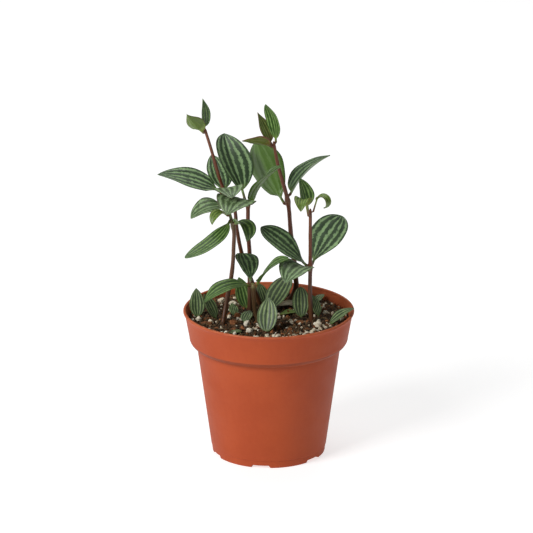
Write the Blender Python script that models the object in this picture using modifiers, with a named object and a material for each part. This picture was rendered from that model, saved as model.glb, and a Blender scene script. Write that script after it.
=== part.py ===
"""A potted peperomia with striped leaves, in a moulded nursery pot.

The origin is at the centre of the pot's underside, +Z is up and -Y is the front.
The pot is a turned moulding, the soil fills it, six stems stand in sockets in the soil,
and every leaf is one closed loft of its stalk and its blade, set against its stem.
"""
import math
from dataclasses import dataclass

import bmesh
import bpy
import numpy as np
from mathutils import Matrix, Vector, noise

MM = 0.001
GAP = 0.3                   # running gap kept between neighbouring pieces, mm

# Pot, mm
POT_HEIGHT = 94.0
RIM_RADIUS = 54.0
LIP_RADIUS = 0.95
LIP_DROP = 2.6              # from the top of the lip to the top of the collar's slope
COLLAR_HEIGHT = 20.2
COLLAR_TOP_RADIUS = 52.9
COLLAR_FOOT_RADIUS = 50.2
COLLAR_BEND = 70.0          # degrees of the round that tucks the collar's foot under
BODY_TOP_RADIUS = 45.4
BODY_TOP_DROP = 5.0         # from the collar's foot down to the start of the body's slope
BODY_FOOT_RADIUS = 36.6
FOOT_BAND_HEIGHT = 5.0
FOOT_BAND_STEP = 0.4
FOOT_RADIUS = 35.8
FOOT_WIDTH = 3.8
FOOT_ROUNDING = 0.6
BOSS_RADIUS = 8.2
BOSS_FLARE = 0.8
WALL = 1.2
WALL_LIFT = 0.3             # rise of the inner face over the outer one, per mm of wall
FLOOR_RECESS = 1.6
FLOOR_TOP = 3.0
FLOOR_CORNER = 1.4
POT_STEPS = 48
NOTCH_COUNT = 6
NOTCH_WIDTH = 11.5
NOTCH_HEIGHT = 1.8
NOTCH_DEPTH = 14.0
NOTCH_FIRST_ANGLE = 22.0
DRAIN_RADIUS = 3.0
DRAIN_CIRCLE = 22.0

# Soil, mm
SOIL_EDGE_TOP = 87.0
SOIL_CROWN = 1.0
SOCKET_DEPTH = 16.0
SOCKET_PLAY = 0.4           # room around a stem or a stalk in its socket
SOCKET_RISE = 3.0           # how far a socket's cutter reaches over the surface
ROOT_DEPTH = 4.0

# Leaves, mm
STALK_RADIUS = 0.85
STALK_SHARE = 0.07          # a narrow leaf's stalk radius, as a share of the leaf's width
STALK_GAP = 0.4
STALK_FADE = 0.35           # share of the blade over which the stalk's depth fades out
BLADE_THICKNESS = 1.0
RING_POINTS = 8
BLADE_RINGS = 8

STEM_RING_SPACING = 7.0
NODE_SWELL = 0.4
NODE_LENGTH = 2.5
TIP_SHARE = 0.6             # radius of a stem's last ring, as a share of its taper there

GRAIN_GAP = 0.4
GRAIN_BUMP = 0.35           # depth of a grain's dents, as a share of its size


@dataclass(frozen=True)
class Stem:
    """A stem: its route upward, its radius at the soil and at the tip, and its node heights."""
    name: str
    route: tuple
    radius: tuple
    nodes: tuple = ()


@dataclass(frozen=True)
class Leaf:
    """A leaf: where its stalk starts, the way it heads and rises, and the form of its blade.

    foot is (stem name, height) on a stem, or (x, y) in the soil. heading turns from +X
    towards +Y, rise is above level, arch is how far the blade bends down along its length,
    sway how far it swings sideways, roll its turn about its own midrib, and fold how
    steeply its halves rise from the midrib, all in degrees. form holds the powers that
    round off the blade's base and its tip.
    """
    name: str
    foot: tuple
    heading: float
    rise: float
    stalk: float
    length: float
    width: float
    arch: float = 20.0
    sway: float = 0.0
    roll: float = 0.0
    fold: float = 10.0
    form: tuple = (0.62, 0.85)


STEMS = [
    Stem("stem_left_front", ((-29, -11, 88), (-26, -6, 103.9), (-23, -4, 120.9), (-22, -4,
         136.8), (-22, -5, 148.7), (-25, -6, 160.7)), (1.5, 1.1), (150.7,)),
    Stem("stem_left_tall", ((-5, 21, 88), (-12, 19, 109.3), (-17, 16, 125.2), (-20, 9,
         144.0), (-22, 6, 160.9), (-29, 4, 173.8), (-36, 3, 198.6), (-40, 2, 212.6)), (1.5,
         0.9), (169.8,)),
    Stem("stem_middle", ((-12, 10, 88), (-12, 13, 107.2), (-12, 12, 124.1), (-13, 8, 144.0),
         (-13, 4, 163.8)), (1.5, 1.2), (161.8,)),
    Stem("stem_short_front", ((-7, -7, 88), (-9, -7, 97.0), (-10, -8, 113.9)), (1.2, 1.5),
         (112.9,)),
    Stem("stem_right_tall", ((12, 28, 88), (17, 30, 96.6), (17, 29, 107.5), (14, 24, 136.3),
         (12, 20, 159.1), (6, 17, 182.9), (3, 15, 199.8)), (1.8, 1.0), (159.1,)),
    Stem("stem_right_front", ((27, -7, 88), (26, -6, 103.9), (26, -6, 123.8), (26, -5,
         143.8), (26, -4, 161.7)), (1.5, 1.0), (123.8,)),
]

LEAVES = [
    # The growing tip and the node of the tall left stem.
    Leaf("leaf_left_tall_tip_up", ("stem_left_tall", 210.6), 130, 94, 2.5, 18, 9.5,
         arch=13, roll=10, fold=25, form=(0.55, 1.0)),
    Leaf("leaf_left_tall_tip_left", ("stem_left_tall", 210.4), 225, 39, 2, 19, 12,
         arch=-15, roll=40, fold=24, form=(0.6, 1.3)),
    Leaf("leaf_left_tall_left", ("stem_left_tall", 170.8), 179, 30, 3.5, 39, 18.5,
         arch=27, sway=12, roll=-25, fold=9, form=(0.62, 0.95)),
    Leaf("leaf_left_tall_back", ("stem_left_tall", 169.8), 105, 30, 2, 30, 16,
         arch=0, sway=5, fold=12),
    Leaf("leaf_left_tall_front", ("stem_left_tall", 171.3), 280, 35, 3, 26, 19,
         arch=60, roll=5, fold=6),
    Leaf("leaf_left_tall_low_left", ("stem_left_tall", 159.9), 202, 14, 6, 23, 20,
         arch=60, sway=-8, roll=-8, fold=12),
    # The tip and the node of the left front stem.
    Leaf("leaf_left_front_tip", ("stem_left_front", 158.7), 225, 38, 2, 15, 9.5,
         arch=115, fold=25),
    Leaf("leaf_left_front_left", ("stem_left_front", 155.2), 247, -22, 3.4, 41, 11.5,
         arch=-6, sway=-43, roll=-12, fold=8, form=(0.6, 0.55)),
    Leaf("leaf_left_front_right", ("stem_left_front", 152.7), 308, 22, 2.5, 17.5, 16,
         arch=130, roll=-15, fold=28),
    # The node of the middle stem.
    Leaf("leaf_middle_back", ("stem_middle", 162.8), 126, 63, 7.5, 44, 24.8,
         arch=45, sway=-27, roll=7, fold=19, form=(0.7, 0.9)),
    Leaf("leaf_middle_right", ("stem_middle", 163.1), 319, 66.5, 2, 35, 18,
         arch=31, sway=13, roll=11, fold=18),
    Leaf("leaf_middle_front", ("stem_middle", 162.3), 250, 40, 7, 32, 25,
         arch=80, roll=-7, fold=3),
    # The tip of the short front stem.
    Leaf("leaf_short_left", ("stem_short_front", 112.9), 208, 16, 2.5, 31, 15,
         arch=58, roll=-8, fold=14),
    Leaf("leaf_short_back", ("stem_short_front", 113), 112, 66, 2.2, 18.5, 18.5,
         arch=36, sway=10, roll=14, fold=14, form=(1.1, 0.55)),
    Leaf("leaf_short_right", ("stem_short_front", 113.4), 317, 56, 3, 34, 15,
         arch=33, roll=25, fold=13),
    # The tip and the node of the tall right stem.
    Leaf("leaf_right_tall_tip_left_up", ("stem_right_tall", 197.4), 147, 62, 2, 20, 12.5,
         arch=0, fold=10, form=(0.6, 1.1)),
    Leaf("leaf_right_tall_tip_right_up", ("stem_right_tall", 198.4), 55, 91, 2.5, 28, 10.5,
         arch=-47, fold=12, form=(0.6, 0.75)),
    Leaf("leaf_right_tall_tip_left", ("stem_right_tall", 197.3), 212, 24, 2.5, 20.5, 12.5,
         arch=15, roll=36, fold=16, form=(0.6, 1.0)),
    Leaf("leaf_right_tall_left", ("stem_right_tall", 157.1), 158, 55.5, 2, 41, 25,
         arch=-13, sway=-18, roll=97, fold=12, form=(1.0, 0.62)),
    Leaf("leaf_right_tall_right", ("stem_right_tall", 162.6), 28, 57, 2, 35, 18.5,
         arch=42, roll=-10, fold=27, form=(0.6, 1.1)),
    # The tip and the node of the right front stem.
    Leaf("leaf_right_front_tip_back", ("stem_right_front", 159.2), 130, 78, 4, 18, 12.5,
         arch=22, sway=8, fold=18, form=(0.6, 0.9)),
    Leaf("leaf_right_front_tip_left", ("stem_right_front", 157.6), 239, 71, 8, 20, 11,
         arch=138, sway=34, fold=20),
    Leaf("leaf_right_front_tip_right", ("stem_right_front", 160), 340, 74, 8, 15.5, 7.5,
         arch=240, sway=-22, fold=22),
    Leaf("leaf_right_front_right", ("stem_right_front", 125.3), 60, 40, 2.5, 36.5, 24.5,
         arch=5, sway=-18, roll=11, fold=10, form=(1.0, 0.6)),
    Leaf("leaf_right_front_left", ("stem_right_front", 125.3), 193, 48, 1.5, 36.5, 23,
         arch=17, sway=-37, roll=-16, fold=10, form=(0.8, 0.7)),
    Leaf("leaf_right_front_front", ("stem_right_front", 122.8), 242, 33, 4.5, 29, 22,
         arch=75, roll=-8, fold=13),
    # Young leaves that rise from the soil.
    Leaf("leaf_low_1", (-45, 2), 100, 75, 1, 18, 10, arch=0),
    Leaf("leaf_low_2", (-33.5, -1), 147, 60, 1, 16.5, 11.5, arch=3),
    Leaf("leaf_low_3", (-21.5, 3), 112, 60, 1, 8, 6.5, arch=12),
    Leaf("leaf_low_4", (-14.3, 15.8), 120, 65, 1.5, 20, 12, arch=5),
    Leaf("leaf_low_5", (-2.5, 25.5), 126, 63, 1.5, 13.5, 9, arch=6),
    Leaf("leaf_low_6", (-15.5, -9.5), 66, 40, 1, 10, 8, arch=25),
    Leaf("leaf_low_7", (-1.5, -28.5), 82, 63, 1, 22, 13, arch=10, fold=7, form=(0.62, 0.75)),
    Leaf("leaf_low_8", (0, 7.5), 45, 50, 3.5, 26, 17, arch=20, sway=15, form=(0.62, 0.7)),
    Leaf("leaf_low_9", (20.5, -0.5), 93, 71, 1, 19, 11, arch=6, fold=8, form=(0.6, 0.6)),
    Leaf("leaf_low_10", (31.5, 3), 122, 62, 1, 13.5, 7, arch=6),
    Leaf("leaf_low_11", (30, 29), 30, 45, 1.5, 7, 7.5, arch=25, fold=13),
    Leaf("leaf_low_12", (38.5, -13), 10, 44, 1, 18, 13, arch=22, fold=14),
    Leaf("leaf_low_13", (7, 5), 350, 20, 1, 11, 9, arch=20),
    Leaf("leaf_low_14", (-25, -28), 350, 15, 1, 8, 6, arch=15),
]

# A dry leaf that lies on the soil, its foot a little above the surface.
DRY_LEAF = Leaf("dry_leaf", (4, 18), 20, 12, 1, 17, 9, arch=24, fold=12)
DRY_LEAF_LIFT = 1.2

# Loose grains on the soil: name, (x, y), half sizes, mm.
GRAINS = [
    ("perlite_1", (-44.0, -6.0), (1.9, 1.6, 1.8)),
    ("perlite_2", (-30.0, 31.0), (2.4, 1.9, 1.7)),
    ("perlite_3", (-23.0, 25.0), (2.3, 2.0, 1.9)),
    ("perlite_4", (-14.0, -17.0), (2.0, 1.8, 2.2)),
    ("perlite_5", (-12.0, -28.0), (2.3, 1.6, 1.8)),
    ("perlite_6", (31.0, -18.0), (2.1, 2.1, 2.0)),
    ("bark_1", (-39.0, -12.0), (3.4, 1.9, 1.3)),
    ("bark_2", (-22.0, -12.0), (2.7, 2.3, 2.0)),
    ("bark_3", (-20.0, -1.0), (1.9, 1.5, 1.4)),
    ("bark_4", (20.0, -10.0), (2.6, 1.4, 1.2)),
]


# ---------------------------------------------------------------- scene and materials

def clear_scene():
    """Remove every object that the file opened with."""
    for item in list(bpy.data.objects):
        bpy.data.objects.remove(item, do_unlink=True)


def make_collection(name):
    """Return a new collection linked under the scene."""
    collection = bpy.data.collections.new(name)
    bpy.context.scene.collection.children.link(collection)
    return collection


def make_material(name, colour, roughness):
    """Return a plain Principled material."""
    material = bpy.data.materials.new(name)
    material.use_nodes = True
    shader = material.node_tree.nodes["Principled BSDF"]
    shader.inputs["Base Color"].default_value = (*colour, 1.0)
    shader.inputs["Roughness"].default_value = roughness
    material.diffuse_color = (*colour, 1.0)
    return material


def add_object(name, data, collection, material=None):
    """Link an object that holds the given mesh or curve, and give it its material."""
    item = bpy.data.objects.new(name, data)
    if material is not None:
        data.materials.append(material)
    collection.objects.link(item)
    return item


def hide_cutter(item):
    """Keep a cutter out of the renders and out of the model."""
    item.hide_render = True
    item.display_type = "WIRE"


def add_cut(target, cutter):
    """Take the cutter's volume out of the target."""
    cut = target.modifiers.new("cut_" + cutter.name, "BOOLEAN")
    cut.operation = "DIFFERENCE"
    cut.solver = "EXACT"
    cut.object = cutter


# ---------------------------------------------------------------- turned pieces

def arc_points(centre, radius, start, end, count):
    """Return points on an arc of the turning profile, angles in degrees."""
    return [(centre[0] + radius * math.cos(math.radians(a)),
             centre[1] + radius * math.sin(math.radians(a)))
            for a in np.linspace(start, end, count)]


def wall_profile(inset):
    """Return the collar and body line, top to bottom, set in from the outer face by inset."""
    shoulder = COLLAR_FOOT_RADIUS - BODY_TOP_RADIUS
    collar_foot = POT_HEIGHT - COLLAR_HEIGHT
    bend = arc_points((BODY_TOP_RADIUS, collar_foot + shoulder / 2), shoulder, 0, -COLLAR_BEND, 5)
    line = [(COLLAR_TOP_RADIUS, POT_HEIGHT - LIP_DROP), *bend,
            (BODY_TOP_RADIUS, collar_foot - BODY_TOP_DROP), (BODY_FOOT_RADIUS, FOOT_BAND_HEIGHT)]
    return [(radius - inset, height + inset * WALL_LIFT) for radius, height in line]


def pot_profile():
    """Return the closed half section of the pot: lip, outside, underside, inside."""
    lip = arc_points((RIM_RADIUS - LIP_RADIUS, POT_HEIGHT - LIP_RADIUS), LIP_RADIUS, 205, -60, 8)
    band = (BODY_FOOT_RADIUS - FOOT_BAND_STEP, FOOT_BAND_HEIGHT - FOOT_BAND_STEP)
    corner = arc_points((FOOT_RADIUS - FOOT_ROUNDING, FOOT_ROUNDING), FOOT_ROUNDING, 0, -90, 3)
    inner_foot = FOOT_RADIUS - FOOT_WIDTH
    underside = [(inner_foot, 0.0), (inner_foot - FOOT_ROUNDING, FLOOR_RECESS),
                 (BOSS_RADIUS + BOSS_FLARE, FLOOR_RECESS), (BOSS_RADIUS, 0.0), (0.0, 0.0)]
    floor_edge = FOOT_RADIUS - WALL
    inside = [(0.0, FLOOR_TOP), (floor_edge - FLOOR_CORNER, FLOOR_TOP),
              (floor_edge, FLOOR_TOP + FLOOR_CORNER)]
    inner_wall = wall_profile(WALL)[::-1]
    return lip + wall_profile(0.0) + [band] + corner + underside + inside + inner_wall


def inner_radius(height):
    """Return the pot's inner radius at a height, mm."""
    line = wall_profile(WALL)[::-1]
    return float(np.interp(height, [point[1] for point in line], [point[0] for point in line]))


def soil_height(x, y):
    """Return the height of the soil's surface: a low crown that falls to the wall."""
    edge = inner_radius(SOIL_EDGE_TOP)
    return SOIL_EDGE_TOP + SOIL_CROWN * (1.0 - (x * x + y * y) / edge ** 2)


def soil_profile():
    """Return the half section of the soil, outer side downwards, then its flat underside."""
    edge = inner_radius(SOIL_EDGE_TOP) - GAP
    crown = [(radius, soil_height(radius, 0.0)) for radius in np.linspace(0.0, edge, 6)]
    side = [(radius - GAP, height + GAP) for radius, height in wall_profile(WALL)
            if height < SOIL_EDGE_TOP - 1.0]
    return crown + side + [(FOOT_RADIUS - FOOT_WIDTH, FLOOR_TOP + GAP),
                           (0.0, FLOOR_TOP + GAP)]


def turn_profile(name, profile, closed, collection, material):
    """Turn a half section about Z and return the object."""
    mesh = bpy.data.meshes.new(name)
    points = [(radius * MM, 0.0, height * MM) for radius, height in profile]
    edges = [(index, index + 1) for index in range(len(points) - 1)]
    if closed:
        edges.append((len(points) - 1, 0))
    mesh.from_pydata(points, edges, [])
    item = add_object(name, mesh, collection, material)
    screw = item.modifiers.new("turn", "SCREW")
    screw.steps = POT_STEPS
    screw.render_steps = POT_STEPS
    screw.use_merge_vertices = True
    screw.merge_threshold = 0.00001
    screw.use_smooth_shade = True
    return item


# ---------------------------------------------------------------- stems

def smooth_route(points, spacing):
    """Return points about one spacing apart on a smooth curve through the route's points."""
    points = np.array(points, dtype=float)
    padded = np.vstack([2 * points[0] - points[1], points, 2 * points[-1] - points[-2]])
    route = []
    for index in range(1, len(padded) - 2):
        before, start, end, after = padded[index - 1:index + 3]
        count = max(1, round(float(np.linalg.norm(end - start)) / spacing))
        for t in np.arange(count) / count:
            route.append(0.5 * (2 * start + (end - before) * t
                                + (2 * before - 5 * start + 4 * end - after) * t ** 2
                                + (3 * start - before - 3 * end + after) * t ** 3))
    route.append(points[-1])
    return np.array(route)


def stem_radius(stem, height):
    """Return a stem's radius at a height: a straight taper, swollen at its nodes."""
    low, high = stem.route[0][2], stem.route[-1][2]
    radius = float(np.interp(height, (low, high), stem.radius))
    swell = sum(math.exp(-((height - node) / NODE_LENGTH) ** 2) for node in stem.nodes)
    return radius * (1.0 + NODE_SWELL * min(swell, 1.0))


def stem_rings(stem):
    """Return the centres of a stem's rings, from its socket's floor to its tip."""
    route = smooth_route(stem.route, STEM_RING_SPACING)
    marks = [height for node in stem.nodes
             for height in (node - NODE_LENGTH, node, node + NODE_LENGTH)
             if height < route[-1][2] - 0.5]
    heights = sorted(set(np.round(np.append(route[:, 2], marks), 2)))
    centres = [[np.interp(height, route[:, 2], route[:, axis]) for axis in range(3)]
               for height in heights]
    root = [centres[0][0], centres[0][1], centres[0][2] - SOCKET_DEPTH]
    return np.array([root, *centres])


def tube(name, centres, radii, collection, material=None):
    """Return a round tube along the centres, a curve with filled caps."""
    curve = bpy.data.curves.new(name, "CURVE")
    curve.dimensions = "3D"
    curve.bevel_depth = MM
    curve.bevel_resolution = 2
    curve.use_fill_caps = True
    spline = curve.splines.new("POLY")
    spline.points.add(len(centres) - 1)
    for point, centre, radius in zip(spline.points, centres, radii):
        point.co = (*(Vector(centre) * MM), 1.0)
        point.radius = radius
    return add_object(name, curve, collection, material)


def make_stem(stem, collection, material):
    """Build one stem."""
    centres = stem_rings(stem)
    radii = [stem_radius(stem, centre[2]) for centre in centres]
    radii[-1] *= TIP_SHARE
    return tube(stem.name, centres, radii, collection, material)


def make_socket(name, centres, radius, collection):
    """Return a cutter for a hole in the soil: a tube made a closed mesh."""
    item = tube(name + "_guide", centres, [radius] * len(centres), collection)
    evaluated = item.evaluated_get(bpy.context.evaluated_depsgraph_get())
    mesh = bpy.data.meshes.new_from_object(evaluated)
    bpy.data.objects.remove(item, do_unlink=True)
    shell = bmesh.new()
    shell.from_mesh(mesh)
    bmesh.ops.remove_doubles(shell, verts=shell.verts, dist=0.00001)
    bmesh.ops.recalc_face_normals(shell, faces=shell.faces)
    shell.to_mesh(mesh)
    shell.free()
    cutter = add_object(name, mesh, collection)
    hide_cutter(cutter)
    return cutter


# ---------------------------------------------------------------- leaves

def outline(along, form):
    """Return the blade's half width at a share of its length, as a share of its widest."""
    base, tip = form
    widest = base / (base + tip)
    peak = widest ** base * (1.0 - widest) ** tip
    return along ** base * (1.0 - along) ** tip / peak


def stalk_radius(leaf):
    """Return a leaf's stalk radius, which is less on a narrow leaf."""
    return min(STALK_RADIUS, leaf.width * STALK_SHARE)


def stem_foot(stem, height, leaf):
    """Return where a leaf's stalk starts: just clear of the stem, on the leaf's side."""
    centres = stem_rings(stem)
    centre = np.array([np.interp(height, centres[:, 2], centres[:, axis]) for axis in range(3)])
    below = np.array([np.interp(height - 2, centres[:, 2], centres[:, axis])
                      for axis in range(3)])
    axis = (centre - below) / np.linalg.norm(centre - below)
    heading = math.radians(leaf.heading)
    outward = np.array([math.cos(heading), math.sin(heading), 0.0])
    outward -= axis * outward.dot(axis)
    outward /= np.linalg.norm(outward)
    steep = abs(math.sin(math.radians(leaf.rise)))
    reach = stem_radius(stem, height) + STALK_GAP + stalk_radius(leaf) * steep
    return centre + outward * reach


def leaf_axis(leaf, start, rooted):
    """Return ring centres, directions and headings, and each ring's share of the blade.

    The axis is summed from short steps. The stalk keeps the leaf's rise, or turns to it
    from upright when the leaf is rooted in the soil, and the blade bends by arch and sway.
    """
    pitch, heading, step, share = [leaf.rise], [leaf.heading], [0.0], [0.0]
    if rooted:
        pitch, heading, step, share = [90.0, 90.0], [leaf.heading] * 2, [0.0, ROOT_DEPTH], [0, 0]
    pitch.append(leaf.rise)
    heading.append(leaf.heading)
    step.append(leaf.stalk)
    share.append(0.0)
    for ring in range(1, BLADE_RINGS + 1):
        along = ring / BLADE_RINGS
        pitch.append(leaf.rise - leaf.arch * along)
        heading.append(leaf.heading + leaf.sway * along)
        step.append(leaf.length / BLADE_RINGS)
        share.append(along)
    pitch, heading = np.radians(pitch), np.radians(heading)
    direction = np.stack([np.cos(pitch) * np.cos(heading),
                          np.cos(pitch) * np.sin(heading), np.sin(pitch)], axis=1)
    middle = (direction[1:] + direction[:-1]) / 2
    moves = np.cumsum(middle * np.array(step)[1:, None], axis=0)
    return np.vstack([start, start + moves]), direction, heading, np.array(share)


def leaf_rings(leaf, start, rooted):
    """Return the loft's rings of points: round at the stalk, flat and folded in the blade."""
    centres, direction, heading, share = leaf_axis(leaf, start, rooted)
    level = np.stack([-np.sin(heading), np.cos(heading), 0 * heading], axis=1)
    upward = np.cross(direction, level)
    roll = np.radians(leaf.roll) * np.minimum(share * 6.0, 1.0)[:, None]
    across = level * np.cos(roll) + upward * np.sin(roll)
    normal = np.cross(direction, across)
    stalk = stalk_radius(leaf)
    blade = leaf.width / 2 * outline(share, leaf.form)
    half_width = np.hypot(stalk * (1.0 - share), blade)
    near_stalk = np.clip(1.0 - share / STALK_FADE, 0.0, 1.0) ** 2
    half_depth = BLADE_THICKNESS / 2 + (stalk - BLADE_THICKNESS / 2) * near_stalk
    fold = math.radians(leaf.fold)
    turn = np.arange(RING_POINTS) * 2 * math.pi / RING_POINTS
    out, lift = np.cos(turn), np.sin(turn)
    sideways = half_width[:, None] * out * math.cos(fold)
    raised = half_depth[:, None] * lift + blade[:, None] * np.abs(out) * math.sin(fold)
    return (centres[:, None] + across[:, None] * sideways[..., None]
            + normal[:, None] * raised[..., None])


def make_leaf(leaf, start, rooted, collection, material):
    """Build one leaf: a closed loft through its rings that ends in a point."""
    rings = leaf_rings(leaf, start, rooted)
    shell = bmesh.new()
    loops = [[shell.verts.new(point * MM) for point in ring] for ring in rings[:-1]]
    tip = shell.verts.new(rings[-1].mean(axis=0) * MM)
    shell.faces.new(loops[0])
    for lower, upper in zip(loops, loops[1:]):
        for index in range(RING_POINTS):
            after = (index + 1) % RING_POINTS
            shell.faces.new((lower[index], lower[after], upper[after], upper[index]))
    for index in range(RING_POINTS):
        shell.faces.new((loops[-1][index], loops[-1][(index + 1) % RING_POINTS], tip))
    bmesh.ops.recalc_face_normals(shell, faces=shell.faces)
    mesh = bpy.data.meshes.new(leaf.name)
    shell.to_mesh(mesh)
    shell.free()
    mesh.shade_smooth()
    return add_object(leaf.name, mesh, collection, material)


def soil_foot(leaf):
    """Return the bottom of a rooted leaf's stalk, down in the soil."""
    x, y = leaf.foot
    return np.array([x, y, soil_height(x, y) - ROOT_DEPTH])


# ---------------------------------------------------------------- pieces

def make_pot(parts, cutters, material):
    """Build the pot: a turned shell with drainage holes and notches between its feet."""
    pot = turn_profile("pot", pot_profile(), True, parts, material)
    for index in range(NOTCH_COUNT):
        angle = math.radians(NOTCH_FIRST_ANGLE + index * 360.0 / NOTCH_COUNT)
        bpy.ops.mesh.primitive_cube_add(size=1.0)
        notch = bpy.context.object
        notch.name = f"notch_{index + 1}"
        size = (NOTCH_DEPTH * MM, NOTCH_WIDTH * MM, 2 * NOTCH_HEIGHT * MM, 1.0)
        notch.data.transform(Matrix.Diagonal(size))
        notch.location = (math.cos(angle) * FOOT_RADIUS * MM,
                          math.sin(angle) * FOOT_RADIUS * MM, 0.0)
        notch.rotation_euler = (0.0, 0.0, angle)
        move_to(notch, cutters)
        add_cut(pot, notch)
        hole_angle = angle + math.pi / NOTCH_COUNT
        bpy.ops.mesh.primitive_cylinder_add(vertices=16, radius=DRAIN_RADIUS * MM,
                                            depth=4 * FLOOR_TOP * MM)
        hole = bpy.context.object
        hole.name = f"drain_{index + 1}"
        hole.location = (math.cos(hole_angle) * DRAIN_CIRCLE * MM,
                         math.sin(hole_angle) * DRAIN_CIRCLE * MM, 0.0)
        move_to(hole, cutters)
        add_cut(pot, hole)
    return pot


def move_to(item, collection):
    """Move a cutter into its collection and hide it."""
    for owner in list(item.users_collection):
        owner.objects.unlink(item)
    collection.objects.link(item)
    hide_cutter(item)


def make_soil(parts, cutters, material):
    """Build the soil, with a socket for every stem and rooted leaf."""
    soil = turn_profile("soil", soil_profile(), False, parts, material)
    for stem in STEMS:
        centres = stem_rings(stem)
        root = centres[0] - np.array([0.0, 0.0, GAP])
        top = centres[2] if centres[2][2] - centres[1][2] > SOCKET_RISE else centres[3]
        radius = stem_radius(stem, centres[1][2]) + SOCKET_PLAY
        socket = make_socket(stem.name + "_socket", [root, centres[1], top], radius, cutters)
        add_cut(soil, socket)
    for leaf in LEAVES:
        if isinstance(leaf.foot[0], str):
            continue
        foot = soil_foot(leaf)
        lower = foot - np.array([0.0, 0.0, GAP])
        upper = foot + np.array([0.0, 0.0, ROOT_DEPTH + SOCKET_RISE])
        radius = stalk_radius(leaf) + SOCKET_PLAY
        add_cut(soil, make_socket(leaf.name + "_socket", [lower, upper], radius, cutters))
    return soil


def make_dry_leaf(parts, material):
    """Build the dry leaf that lies on the soil."""
    x, y = DRY_LEAF.foot
    start = np.array([x, y, soil_height(x, y) + DRY_LEAF_LIFT])
    return make_leaf(DRY_LEAF, start, False, parts, material)


def make_grain(name, place, halves, seed, parts, material):
    """Build one loose grain, a ball pushed in and out, resting just over the soil."""
    shell = bmesh.new()
    bmesh.ops.create_icosphere(shell, subdivisions=2, radius=1.0)
    for vertex in shell.verts:
        bump = 1.0 + GRAIN_BUMP * noise.noise(vertex.co * 1.3 + Vector((seed * 3.7, 0.0, 0.0)))
        vertex.co = Vector(c * half * bump for c, half in zip(vertex.co, halves))
    lowest = min(vertex.co.z for vertex in shell.verts)
    x, y = place
    base = soil_height(x, y) + GRAIN_GAP
    for vertex in shell.verts:
        vertex.co = (vertex.co + Vector((x, y, base - lowest))) * MM
    mesh = bpy.data.meshes.new(name)
    shell.to_mesh(mesh)
    shell.free()
    mesh.shade_smooth()
    return add_object(name, mesh, parts, material)


def main():
    """Build the whole plant in its pot."""
    clear_scene()
    parts = make_collection("potted_peperomia")
    cutters = make_collection("cutters")
    terracotta = make_material("terracotta_plastic", (0.45, 0.115, 0.05), 0.5)
    earth = make_material("potting_soil", (0.045, 0.022, 0.012), 0.95)
    red_stem = make_material("red_stem", (0.16, 0.045, 0.025), 0.4)
    leaf_green = make_material("leaf_green", (0.045, 0.11, 0.035), 0.35)
    young_green = make_material("young_leaf_green", (0.14, 0.26, 0.05), 0.4)
    straw = make_material("dry_leaf_straw", (0.42, 0.36, 0.22), 0.8)
    perlite = make_material("perlite_white", (0.75, 0.72, 0.63), 0.9)
    bark = make_material("bark_brown", (0.23, 0.085, 0.03), 0.9)

    make_pot(parts, cutters, terracotta)
    make_soil(parts, cutters, earth)
    stems = {stem.name: stem for stem in STEMS}
    for stem in STEMS:
        make_stem(stem, parts, red_stem)
    for leaf in LEAVES:
        green = young_green if leaf.width < 13 else leaf_green
        if isinstance(leaf.foot[0], str):
            name, height = leaf.foot
            make_leaf(leaf, stem_foot(stems[name], height, leaf), False, parts, green)
        else:
            make_leaf(leaf, soil_foot(leaf), True, parts, green)
    make_dry_leaf(parts, straw)
    for seed, (name, place, halves) in enumerate(GRAINS):
        grain = perlite if name.startswith("perlite") else bark
        make_grain(name, place, halves, seed, parts, grain)


if __name__ == "__main__":
    main()
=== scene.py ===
"""Looks of a potted striped peperomia: nursery pot, soil mix, stems and leaves.

Lengths are in millimetres until a mesh is made. The origin is at the centre of the pot's
underside, +Z is up and -Y is the front. The stems' routes and the leaves' sizes repeat the
ones that the CAD solids were made from, so that each piece fills its own solid's place.
"""
import logging
import math
from dataclasses import dataclass, field
from enum import Enum
from itertools import product
from typing import Callable, Optional, Union

import bpy
import numpy as np
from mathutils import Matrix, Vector


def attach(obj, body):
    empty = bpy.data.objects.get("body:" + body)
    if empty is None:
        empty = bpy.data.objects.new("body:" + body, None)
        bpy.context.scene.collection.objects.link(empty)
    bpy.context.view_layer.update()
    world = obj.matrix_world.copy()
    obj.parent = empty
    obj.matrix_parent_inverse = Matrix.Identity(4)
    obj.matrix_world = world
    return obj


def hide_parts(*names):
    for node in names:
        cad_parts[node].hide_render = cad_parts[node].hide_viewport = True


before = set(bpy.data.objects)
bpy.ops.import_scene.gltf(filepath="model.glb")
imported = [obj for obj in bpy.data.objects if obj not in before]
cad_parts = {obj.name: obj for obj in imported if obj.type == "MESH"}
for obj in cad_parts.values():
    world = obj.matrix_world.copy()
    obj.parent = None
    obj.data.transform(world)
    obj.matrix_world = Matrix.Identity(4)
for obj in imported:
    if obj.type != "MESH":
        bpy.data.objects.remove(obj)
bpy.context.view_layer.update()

Colour = tuple[float, float, float]
Source = Union[float, tuple, "Wire"]
Key = Union[int, str]

log = logging.getLogger("peperomia")

MM = 0.001
BODY = "root"

# Soil surface, mm: its height at the wall and how far its middle stands above that.
SOIL_EDGE_TOP = 87.0
SOIL_CROWN = 1.0
SOIL_EDGE_RADIUS = 51.3

# How far the CAD keeps what lies on the soil above it, mm.
SOIL_CLEARANCE = 0.4

# How much brighter than its own colour the studio's light makes a face at the front.
FRONT_LIGHT = 1.2

# Which of a Mix node's sockets are its factor, its two colours and its mixed colour.
MIX_INPUTS = (0, 6, 7)
MIX_OUTPUT = 2


def srgb(red: int, green: int, blue: int) -> Colour:
    """Return the linear colour that shows, in the studio's light, as three display values
    between 0 and 255."""
    values = np.array([red, green, blue]) / 255.0
    linear = np.where(values <= 0.04045, values / 12.92, ((values + 0.055) / 1.055) ** 2.4)
    return tuple(float(value) / FRONT_LIGHT for value in linear)


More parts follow.
